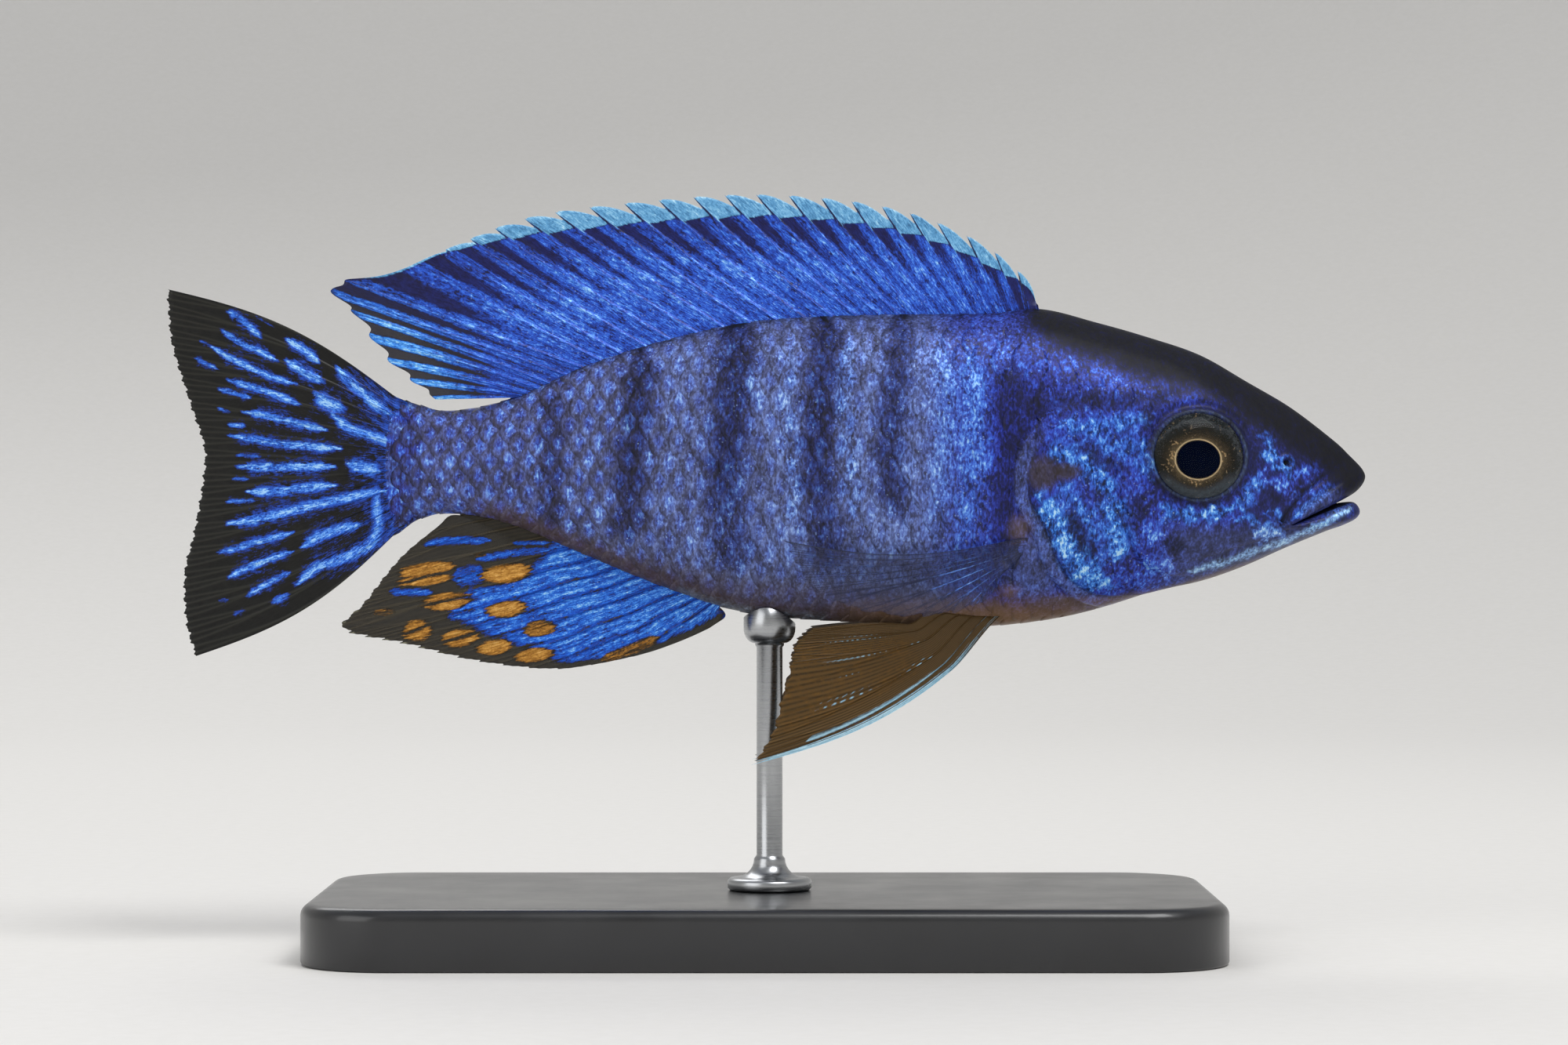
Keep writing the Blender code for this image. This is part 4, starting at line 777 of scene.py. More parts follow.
def scaleField(count, xs, arcs, lengths, widths, chance):
    # every scale of a field at once: points (scale, across, along, 3), masks and local places
    along = np.linspace(-0.75, 1, count[1])              # root to rear edge
    across = np.linspace(-1, 1, count[0])
    across = np.sign(across) * (1 - (1 - np.abs(across)) ** 1.25)
    b, a = np.meshgrid(across, along, indexing="ij")
    reach = np.where(a > 0, a * (1 - np.abs(b) ** 2.3) ** 0.62, a * (1 - 0.35 * b * b))
    wide = b * np.where(a > 0, 1.0, 1 + 0.28 * a)
    L, W = lengths[:, None, None], widths[:, None, None]
    x = xs[:, None, None] - reach[None] * L
    s = arcs[:, None, None] + wide[None] * W
    point = flank.at(x, s)
    step = 0.15
    ahead = flank.at(x + step, s) - flank.at(x - step, s)
    upward = flank.at(x, s + step) - flank.at(x, s - step)
    normal = np.cross(upward, ahead)
    normal /= np.maximum(np.linalg.norm(normal, axis=-1, keepdims=True), 1e-9)
    vx, vz = onView(point[..., 0], point[..., 2])
    base = relief(vx, vz) * ease(np.abs(normal[..., 1]), 0.12, 0.5) - body["coatDepth"]
    tilt = scales["tilt"] * (0.3 + 0.7 * ease(L, 1.0, 2.0)) * (1 - 0.65 * ease(x, 20.0, 26.0))
    lift = 0.03 + tilt * (reach[None] * L + 0.75 * L) - 0.05 * (b[None] ** 2) * (0.4 + W / 2.4)
    ridges = 0.008 * np.cos(b * 19.0) * np.clip(a, 0, 1)
    lift = lift + ridges[None] + 0.012 * (chance[:, None, None] - 0.5)
    top = point + normal * (base + lift)[..., None]
    under = point + normal * (base + lift - scales["thickness"])[..., None]
    return top, under, point, vx, vz, a, b, reach * L, wide * W


def plateFaces(n, m):
    upper = gridFaces(n, m)
    lower = gridFaces(n, m, first=n * m)[:, ::-1]
    border = [k for k in range(m)] + [k * m + m - 1 for k in range(1, n)]
    border += [(n - 1) * m + k for k in range(m - 2, -1, -1)] + [k * m for k in range(n - 2, 0, -1)]
    border = np.array(border)
    later = np.roll(border, -1)
    rim = np.stack([later, border, border + n * m, later + n * m], -1)
    return np.concatenate([upper, lower, rim])


def placeScales(small):
    # the net of scale centres on one flank
    found = []
    up, down = flank.reach(np.array([0.0]))
    if small:
        length, row = scales["smallLength"], scales["smallRow"]
        for r in range(-18, 22):
            for k in range(60):
                x = 47.0 - length * (k + 0.5 * (r % 2))
                found.append((x, r * row, length * 1.05, row * 1.12))
    else:
        table = np.array(scales["rowHeight"])
        for r in range(-11, 12):
            for k in range(40):
                x = 37.5 - scales["length"] * (k + 0.5 * (r % 2))
                row = np.interp(x, table[:, 0], table[:, 1])
                found.append((x, r * row, scales["length"] * 1.04, row * 1.14))
    found = np.array(found)
    x, arc = found[:, 0], found[:, 1]
    up, down = flank.reach(x)
    here = flank.at(x, np.clip(arc, -down, up))
    vx, vz = onView(here[:, 0], here[:, 2])
    away, side, share = toLine(vx, vz, head["coverEdge"])
    inside = away * side
    inRange = (arc < up + 0.2) & (arc > -down - 0.2) & (x > -36.1 + 0.12 * np.abs(arc) + 0.5 * np.sin(arc * 2.1))
    aboveCover = vz > 5.4
    if small:
        cover = (inside > 1.0) & (vx < 44) & ~aboveCover & (vz > -11.5)
        blackAway, blackSide, _ = toLine(vx, vz, marks["blackTop"])
        nape = aboveCover & (vx > 28.5) & (vx < 44.5) & (blackAway * blackSide < -3.0)
        cheekAway, _, cheekShare = toLine(vx, vz, head["cheekGroove"])
        keep = inRange & (cover | nape) & (cheekAway > 0.75) & (eyeAway(vx, vz) > 6.2) & (vx < 45)
    else:
        behind = (inside < -2.0) | (vx < 23.0)
        behind = behind & ~((inside > -3.3) & (inside < 0) & (vz < 5.4) & (vx > 25) & (share < 0.02))
        blackAway, blackSide, _ = toLine(vx, vz, marks["blackTop"])
        behind = behind & (vx < 40) & ~((inside > 0) & (vx > 25))
        keep = inRange & np.where(aboveCover, (vx < 31.0) & ((vx < 23.5) | (blackAway * blackSide < -3.0)), behind)
    return found[keep]


def makeScales():
    look = cichlidSkin("cichlid scales")
    rng = np.random.default_rng(7)
    for small, count, word in ((False, (12, 9), "body"), (True, (8, 7), "head")):
        net = placeScales(small)
        chance = rng.random(len(net))
        shift = (rng.random((len(net), 2)) - 0.5) * (0.1 if small else 0.16)
        for sign, side in ((-1, "right"), (1, "left")):
            xs, arcs = net[:, 0] + shift[:, 0], net[:, 1] + shift[:, 1]
            top, under, point, vx, vz, a, b, reach, wide = scaleField(count, xs, arcs, net[:, 2], net[:, 3], chance)
            masks = markings(point[..., 0], point[..., 2], vx, vz)
            flatA, flatB = np.broadcast_to(a, vx.shape), np.broadcast_to(b, vx.shape)
            c = chance[:, None, None]
            if not small:
                # a tall blue spot in the middle of each scale, pigment between the spots
                middle = np.exp(-((flatA - 0.5) / 0.24) ** 2 - (flatB / (0.4 + 0.2 * c)) ** 2)
                clear = (1 - ease(vx, 6, 22)) * (0.55 + 0.45 * (1 - ease(vx, -20, -2)))
                masks["blue"] = masks["blue"] * (1 - 0.54 * clear) + 0.5 * clear * middle * (masks["blue"] > 0.12)
                masks["blue"] = masks["blue"] * (0.86 + 0.28 * c)
                masks["grey"] = np.clip(masks["grey"] * (1 - 0.85 * clear * middle) + 0.1 * clear * (1 - middle), 0, 1)
                masks["warm"] = masks["warm"] + 0.04 * clear * (1 - middle)
                masks["dark"] = masks["dark"] + 0.19 * clear * (1 - middle)
            else:
                masks["blue"] = masks["blue"] * (0.85 + 0.3 * c)
            n, m = count
            plate = plateFaces(n, m)
            each = 2 * n * m
            points = np.concatenate([top.reshape(len(net), -1, 3), under.reshape(len(net), -1, 3)], 1)
            points[..., 1] *= sign
            faces = (plate[None] + (np.arange(len(net)) * each)[:, None, None]).reshape(-1, 4)
            if sign < 0:
                faces = faces[:, ::-1]
            masks = {key: np.concatenate([value.reshape(len(net), -1)] * 2, 1) for key, value in masks.items()}
            rootU, rootV = unwrap(xs, arcs, sign > 0)
            localU = np.tile((-reach / net[:, 2][:, None, None] * 0.0015).reshape(len(net), -1), 2)
            localV = np.tile((wide / net[:, 3][:, None, None] * 0.0015).reshape(len(net), -1), 2)
            u = (rootU[:, None] + localU).ravel()[faces.ravel()]
            v = (rootV[:, None] + localV).ravel()[faces.ravel()]
            name = "scales_" + word + "_" + side
            piece = buildMesh(name, points, faces, masks, np.stack([u, v], -1), look)
            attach(piece, "root")
            print(name, len(net), "scales", len(faces) * 2)


# fins: a membrane on rays, raised as ridges that branch towards the edge

finShape = {"rootHalf": 0.5, "edgeHalf": 0.13, "ridge": 0.16, "streak": 3.4}


def finGrid(rays, perRay, rows, base, margin, bow, cutAt=None, sink=1.0, tipAt=None, crowd=0.0):
    # columns across the fin, crowded at the rays if asked, and rows from root to edge, in the middle plane
    phase = np.linspace(0, rays - 1, (rays - 1) * perRay + 1)
    phase = phase - crowd * np.sin(2 * math.pi * phase) / (2 * math.pi)
    share = phase / (rays - 1)
    root = base(share)
    tip = margin(tipAt(share) if tipAt else share)
    run = tip - root
    length = np.maximum(np.linalg.norm(run, axis=-1), 0.01)
    across = np.stack([-run[:, 1], run[:, 0]], -1) / length[:, None]
    cut = cutAt(phase) if cutAt else 0 * share
    end = np.maximum(1 - cut / length, 0.3)
    s = np.linspace(0, 1, rows)[None, :] ** 0.9 * end[:, None]
    s = s - (sink / length)[:, None] * (1 - np.linspace(0, 1, rows)[None, :]) ** 6
    place = root[:, None] + run[:, None] * s[..., None]
    place = place + across[:, None] * (bow(share)[:, None] * np.sin(math.pi * np.clip(s, 0, 1)))[..., None]
    return {"share": share[:, None] + 0 * s, "phase": phase[:, None] + 0 * s, "s": s, "place": place,
            "away": length[:, None] * (1 - s), "along": length[:, None] * s, "length": length[:, None] + 0 * s}


def rayRidge(grid, width, forkAt=0.45, spread=0.22, spines=0):
    # height of the ray at each place, 0 to 1; soft rays fork once and again
    phase, s = grid["phase"], grid["s"]
    nearest = np.round(phase)
    d = phase - nearest
    soft = nearest >= spines
    first = np.where(soft, spread * ease(s, forkAt, 1.0), 0)
    second = np.where(soft, 0.5 * spread * ease(s, 0.5 + forkAt / 2, 1.0), 0)
    best = np.zeros(np.shape(s))
    for one in (-1, 1):
        for two in (-1, 1):
            offset = one * first + two * second
            best = np.maximum(best, np.exp(-((d - offset) / (width * (1 - 0.45 * ease(s, forkAt, 1)))) ** 2))
    return best


def finPiece(name, grid, middle, half, masks, material, slot, nodes, sign=1):
    n, m = grid["s"].shape
    place = grid["place"]
    points = np.concatenate([
        np.stack([place[..., 0], middle + half, place[..., 1]], -1).reshape(-1, 3),
        np.stack([place[..., 0], middle - half, place[..., 1]], -1).reshape(-1, 3)])
    faces = plateFaces(n, m)
    points[:, 1] *= sign
    if sign < 0:
        faces = faces[:, ::-1]
    corner = faces.ravel()
    upper = (corner < n * m).reshape(-1, 4).all(1).repeat(4)
    local = corner % (n * m)
    u = 0.02 + 0.96 * (local // m) / (n - 1)
    v = 0.02 + 0.46 * (local % m) / (m - 1) + np.where(upper, 0.5, 0)
    # how far apart the rays lie halfway out, so that the pigment keeps its size
    gap = np.linalg.norm(np.diff(place[:, m // 2], axis=0), axis=-1).sum() / grid["phase"].max()
    masks = dict(masks, acrossRays=grid["phase"] * gap * mm, alongRays=grid["along"] / finShape["streak"] * mm)
    both = {key: np.concatenate([np.ravel(value)] * 2) for key, value in masks.items()}
    piece = buildMesh(name, points, faces, both, np.stack([u, v], -1), material)
    settle(piece, slot, *nodes)
    print(name, len(faces) * 2)
    return piece


def finSkin(name, colours, alpha=1.0, grain=1.0):
    # fin skin over bony rays: thin and wet, dark where it is clear, with blue crystals laid in streaks
    made, tree, shader = newMaterial(name, Roughness=0.4, IOR=1.38, Specular_IOR_Level=0.3, Coat_Weight=0.08,
                                     Coat_Roughness=0.2)
    mask = {key: add(tree, "Attribute", out="Fac", attribute_name=key)
            for key in ("blue", "cyan", "pale", "orange", "ray", "clear")}
    # the pigment is drawn out along the rays
    flow = [add(tree, "Attribute", out="Fac", attribute_name=key) for key in ("acrossRays", "alongRays")]
    flow = add(tree, "CombineXYZ", {0: flow[0], 1: flow[1]})
    streaks, _ = pigment(tree, size=0.75, place=flow)
    grains, fine = pigment(tree, size=0.7)
    uneven = add(tree, "Math", {0: grains, 1: 0.5, 2: streaks}, operation="MULTIPLY_ADD")
    ground = add(tree, "MapRange", {"Value": uneven, "From Min": -0.35 / grain, "From Max": 0.35 / grain})
    ground = add(tree, "Mix", {0: ground, 6: colours["membrane"], 7: colours["membrane2"]}, 2, data_type="RGBA")
    ground = add(tree, "Mix", {0: mask["ray"], 6: ground, 7: colours["ray"]}, 2, data_type="RGBA")
    much = add(tree, "Math", {0: mask["blue"], 1: 0.62, 2: 0.2}, operation="MULTIPLY_ADD")
    level = add(tree, "Math", {0: mask["blue"], 1: 0.78, 2: 0.03}, operation="MULTIPLY_ADD")
    level = add(tree, "Math", {0: uneven, 1: much, 2: level}, operation="MULTIPLY_ADD")
    royal = add(tree, "ValToRGB", {0: level}, stops=colours["royal"])
    cyan = add(tree, "ValToRGB", {0: level}, stops=skinColours["cyan"])
    blue = add(tree, "Mix", {0: mask["cyan"], 6: royal, 7: cyan}, 2, data_type="RGBA")
    share = add(tree, "MapRange", {"Value": level, "From Min": 0.16, "From Max": 0.32}, interpolation_type="SMOOTHSTEP")
    colour = add(tree, "Mix", {0: share, 6: ground, 7: blue}, 2, data_type="RGBA")
    shade = add(tree, "Math", {0: uneven, 1: 0.6 * grain, 2: 0.5}, operation="MULTIPLY_ADD")
    for key, stops, rough in (("orange", "amber", 0.38), ("pale", "sky", 0.25)):
        found = add(tree, "Math", {0: uneven, 1: rough * grain, 2: mask[key]}, operation="MULTIPLY_ADD")
        found = add(tree, "MapRange", {"Value": found, "From Min": 0.25, "From Max": 0.6},
                    interpolation_type="SMOOTHSTEP")
        there = add(tree, "MapRange", {"Value": mask[key], "From Min": 0.02, "From Max": 0.15})
        found = add(tree, "Math", {0: found, 1: there}, operation="MULTIPLY")
        lift = add(tree, "Math", {0: mask[key], 1: 0.5, 2: shade}, operation="MULTIPLY_ADD")
        lift = add(tree, "Math", {0: lift, 1: 0.4}, operation="SUBTRACT")
        ramp = add(tree, "ValToRGB", {0: lift}, stops=colours[stops])
        colour = add(tree, "Mix", {0: found, 6: colour, 7: ramp}, 2, data_type="RGBA")
    # painted glints: pale spots mixed into the colour where the fin is blue
    glint = paintedGlints(tree, mask["blue"], 0.3)
    colour = add(tree, "Mix", {0: glint, 6: colour, 7: skinColours["glint"]}, 2, data_type="RGBA")
    tree.links.new(colour, shader.inputs["Base Color"])
    shine = add(tree, "MapRange", {"Value": level, "From Min": 0.45, "From Max": 0.85, "To Max": 0.25})
    tree.links.new(shine, shader.inputs["Metallic"])
    if alpha < 1:
        solid = add(tree, "MapRange", {"Value": mask["clear"], "To Min": 1.0, "To Max": alpha})
        tree.links.new(solid, shader.inputs["Alpha"])
    bump = add(tree, "Bump", {"Height": fine, "Strength": 0.6, "Distance": 0.015 * mm})
    tree.links.new(bump, shader.inputs["Normal"])
    return made


finBlue = ((0.0, "#0e1030"), (0.25, "#172668"), (0.42, "#203fa2"), (0.6, "#2d5cd0"), (0.78, "#4c86ea"), (1.0, "#93c6fa"))
finAmber = ((0.0, "#3c2610"), (0.3, "#83561a"), (0.48, "#a9742a"), (0.68, "#cb9645"), (1.0, "#ecc47e"))
finSky = ((0.0, "#3a6a90"), (0.3, "#4c86b4"), (0.5, "#62a0ce"), (0.72, "#83bce0"), (1.0, "#c4e6f5"))


dorsal = {
    "rays": 29,
    "spines": 17,
    "notch": 2.0,
    "tips": 0.9,           # how far the last soft rays stand out of their membrane
    "flap": 3.0,           # how far the pale skin between the spines reaches down
    "margin": ((27.2, 17.0), (26.0, 19.4), (20.5, 23.4), (11.8, 26.5), (-0.8, 27.7), (-14.2, 26.8), (-24.0, 25.3),
               (-31.9, 22.2), (-37.4, 19.8), (-43.6, 18.6), (-41.0, 15.4), (-37.7, 10.9), (-33.0, 7.1)),
    # ray number, share of the margin at its tip, place of its root
    "fan": ((0, 0.0, 27.3), (1, 0.041, 26.1), (2, 0.073, 25.0), (4, 0.144, 22.0), (6, 0.207, 18.5), (8, 0.274, 14.8),
            (10, 0.345, 11.1), (12, 0.414, 6.4), (14, 0.49, 0.7), (16, 0.566, -4.6), (18, 0.634, -9.9),
            (20, 0.692, -14.8), (21, 0.73, -16.8), (22, 0.805, -18.7), (24, 0.867, -22.0), (26, 0.934, -24.3),
            (28, 1.0, -25.6)),
    "bow": ((0, 0.0), (4, -0.2), (8, 0.2), (12, 0.4), (17, 0.2), (22, 0.1), (25, -0.3), (28, 0.0)),
    # half width of the blue band of a ray in shares of the gap, by ray number, near the root, in the middle, at the edge
    "bandAt": (0, 2, 5.5, 12.5, 17.5, 20, 22.5, 25, 28),
    "bandRoot": (0.2, 0.3, 0.42, 0.55, 0.55, 0.5, 0.45, 0.42, 0.4),
    "bandMiddle": (0.13, 0.17, 0.25, 0.36, 0.37, 0.34, 0.32, 0.32, 0.3),
    "bandEdge": (0.07, 0.10, 0.17, 0.25, 0.27, 0.27, 0.22, 0.2, 0.16),
    "shift": 0.27,         # how far the bands lie behind the spines
    "colours": {"membrane": "#131440", "membrane2": "#1a2160", "ray": "#26242c", "royal": finBlue, "amber": finAmber,
                "sky": finSky},
}


def lappetSize(phase):
    # the flaps of skin between the spines, smaller towards the rear
    return (1 - ease(phase, dorsal["spines"] - 1.5, dorsal["spines"] + 4.5)) * (0.75 + 0.25 * ease(phase, 0.5, 4.0))


def lappetCut(phase):
    # how much shorter than its margin the fin is: each flap rises to the tip of the spine behind it
    offset = phase - np.floor(phase)
    rise = (1 - offset) ** 2.7 * (1 + 0.15 * np.sin(np.floor(phase) * 2.3))
    rise = rise * np.maximum(ease(offset, 0.0, 0.08), phase < 1)
    free = dorsal["tips"] * ease(phase, 21.3, 22.6) * (1 - ease(phase, 27.2, 27.9)) * np.sin(math.pi * phase) ** 2
    return free + lappetSize(phase) * (dorsal["notch"] * rise + 0.2 * ease(offset, 0.85, 1.0) ** 2)


def makeDorsal():
    margin = evenLine(dorsal["margin"])
    fan, bow = np.array(dorsal["fan"]), np.array(dorsal["bow"])
    last = dorsal["rays"] - 1

    def base(share):
        x = np.interp(share * last, fan[:, 0], fan[:, 2])
        return np.stack([x, sectionAt(x)[:, 1]], -1)

    grid = finGrid(dorsal["rays"], 20, 64, base, margin, lambda share: np.interp(share * last, bow[:, 0], bow[:, 1]),
                   lappetCut, tipAt=lambda share: np.interp(share * last, fan[:, 0], fan[:, 1]), crowd=0.7)
    share, s, phase = grid["share"], grid["s"], grid["phase"]
    ridge = rayRidge(grid, 0.09, spines=dorsal["spines"], spread=0.2)
    half = finShape["edgeHalf"] + (finShape["rootHalf"] - finShape["edgeHalf"]) * (1 - np.clip(s, 0, 1)) ** 2.2
    half = half + finShape["ridge"] * ridge * (1 - 0.6 * s)
    half[:, -1] = 0.05
    middle = 0.5 * s * np.sin(5.0 * share)
    # blue bands along the rays with dark wedges between them that run out towards the root
    moved = phase - dorsal["shift"] * np.clip(s, 0, 1) * (1 - ease(phase, 16.0, 21.0))
    d = np.abs(moved - np.round(moved))
    low, mid, high = (np.interp(phase, dorsal["bandAt"], dorsal[key]) for key in ("bandRoot", "bandMiddle", "bandEdge"))
    wide = np.where(s < 0.55, low + (mid - low) * np.clip((s - 0.2) / 0.35, 0, 1), mid + (high - mid) * (s - 0.55) / 0.4)
    band = ease(wide - d, -0.09, 0.07)
    rear = ease(phase, 20.5, 23.5)
    under = (0.44 - 0.12 * rear) * (1 - ease(s, 0.4 - 0.2 * rear, 0.86 - 0.45 * rear)) * ease(phase, 0.5, 4.0)
    threads = 0.5 + 0.5 * np.cos(phase * 2 * math.pi * 5 + 0.7 * np.sin(grid["along"] * 1.3 + phase * 5))
    dash = 0.5 + 0.5 * np.sin(grid["along"] * 2 * math.pi / 1.7 + np.round(moved) * 2.4)
    bright = np.exp(-(d / 0.07) ** 2) * dash ** 2 * ease(s, 0.15, 0.35) * (1 - ease(s, 0.6, 0.85))
    tips = ease(phase, 21.0, 25.0) * ease(s, 0.25, 0.8)
    blue = under + (1 - under) * band * (0.43 + 0.14 * threads + 0.32 * tips - 0.08 * ease(0.4 - s, 0.0, 0.3))
    blue = blue + 0.24 * bright * band - 0.14 * ease(d, 0.3, 0.5) * (1 - ease(s, 0.5, 0.8)) * band
    ends = ease(phase, 20.5, 22.0) * (1 - ease(phase, 24.0, 25.5))
    blue = blue * (1 - 0.6 * ends * (1 - ease(grid["away"], 0.2, 1.0)))
    blue = blue * (1 - 0.75 * (1 - ease(phase, 0.6, 2.6)) * (0.4 + 0.6 * s))
    # the flaps, pale sky blue, with dark slits between them and a thin pale edge that runs on behind them
    deep = dorsal["flap"] * lappetSize(phase) * (0.4 + 0.6 * ease(phase, 0.4, 2.4))
    offset = phase - np.floor(phase)
    lap = ease(deep * (0.9 + 0.2 * offset) - grid["away"], -0.1, 0.14) * ease(phase, 0.0, 0.3)
    slit = np.exp(-((offset - 0.03) / 0.035) ** 2) + np.exp(-((offset - 1.03) / 0.035) ** 2)
    spine = np.exp(-((offset - 0.97) / 0.02) ** 2) * ease(1.25 * deep - grid["away"], -0.1, 0.2)
    edge = np.exp(-(np.clip(grid["away"] - lappetCut(phase), 0, 9) / 0.25) ** 2)
    pale = lap * (0.72 + 0.6 * edge - 0.78 * np.clip(slit, 0, 1))
    pale = np.maximum(pale, 0.75 * spine * (deep > 0.3))
    border = toLine(grid["place"][..., 0], grid["place"][..., 1], dorsal["margin"])[0]
    pale = np.maximum(pale, 0.85 * (1 - ease(border, 0.1, 0.34)) * (phase > 16) * (1 - ease(phase, 21.6, 22.0)))
    blue = blue * (1 - lap)
    clear = ease(phase, 21.5, 24.5) * ease(s, 0.3, 0.8) * (1 - ease(blue, 0.1, 0.3))
    masks = {"blue": blue, "cyan": np.clip(tips + 0.3 * bright, 0, 1), "pale": pale, "orange": 0 * s,
             "ray": np.maximum(0.4 * ridge, 0.95 * ease(phase, 21.0, 24.0)), "clear": clear}
    look = finSkin("dorsal fin skin", dorsal["colours"], 0.8)
    return finPiece("fish_dorsal_fin", grid, middle, half, masks, look, "blue_fins", ["dorsal_fin"])


anal = {
    "base": (-4.6, -30.6),
    "rays": 13,
    "spines": 3,
    "margin": ((-4.8, -15.2), (-6.3, -16.0), (-11.0, -18.0), (-16.4, -19.3), (-21.7, -19.9), (-29.1, -19.1),
               (-36.3, -17.4), (-42.5, -15.9), (-40.3, -13.2), (-36.5, -8.6), (-32.4, -5.3)),
    "eggSpots": (  # x, z, half length, half height, strength
        (-33.7, -9.9, 2.75, 0.72, 1.0), (-33.9, -10.9, 2.6, 0.6, 1.0), (-25.9, -10.3, 2.45, 0.95, 1.0),
        (-31.9, -13.1, 2.4, 0.85, 1.0), (-25.9, -13.9, 2.0, 0.8, 0.95), (-34.9, -16.0, 1.4, 1.05, 0.95),
        (-30.7, -16.8, 1.75, 0.9, 1.0), (-27.1, -17.7, 1.7, 0.75, 0.95), (-22.7, -15.8, 1.65, 0.8, 0.7),
        (-23.3, -18.5, 1.9, 0.7, 0.95), (-38.2, -14.2, 1.3, 0.4, 0.45), (-28.6, -8.4, 0.8, 0.3, 0.4)),
    "spotLines": (((-36.4, -11.3), (-33.5, -10.5), (-31.0, -10.1)), ((-34.2, -13.5), (-29.6, -12.6)),
                  ((-36.1, -16.4), (-33.6, -15.4)), ((-32.4, -17.2), (-29.0, -16.3))),
    "rearStreaks": (  # blue on the clear rear part: line, half width
        (((-34.5, -7.4), (-31.4, -7.0), (-27.6, -7.0)), 0.34), (((-28.9, -8.9), (-26.6, -8.5), (-23.8, -8.1), (-21.2, -8.1)), 0.34),
        (((-25.3, -7.25), (-21.7, -7.2)), 0.2), (((-31.2, -10.8), (-28.0, -10.3)), 0.8),
        (((-31.7, -14.6), (-28.1, -14.1)), 0.5), (((-37.6, -12.1), (-33.5, -12.2)), 0.35),
        (((-30.0, -12.3), (-26.0, -12.0)), 0.5), (((-27.5, -16.2), (-24.2, -15.2)), 0.5)),
    "blueUpTo": ((-20.6, -5.5), (-22.0, -8.0), (-25.0, -10.6), (-30.0, -12.4), (-31.6, -14.2), (-28.6, -16.2),
                 (-25.3, -17.4), (-20.5, -19.5)),
    "colours": {"membrane": "#171510", "membrane2": "#25211a", "ray": "#453d2c", "amber": finAmber,
                "royal": ((0.0, "#0b1230"), (0.25, "#0f2c80"), (0.42, "#1248b2"), (0.6, "#1d62d4"), (0.78, "#448ff0"),
                          (1.0, "#9ad0fb")),
                "sky": ((0.0, "#4a4a3c"), (0.5, "#8d8a70"), (1.0, "#cfccb2"))},
}


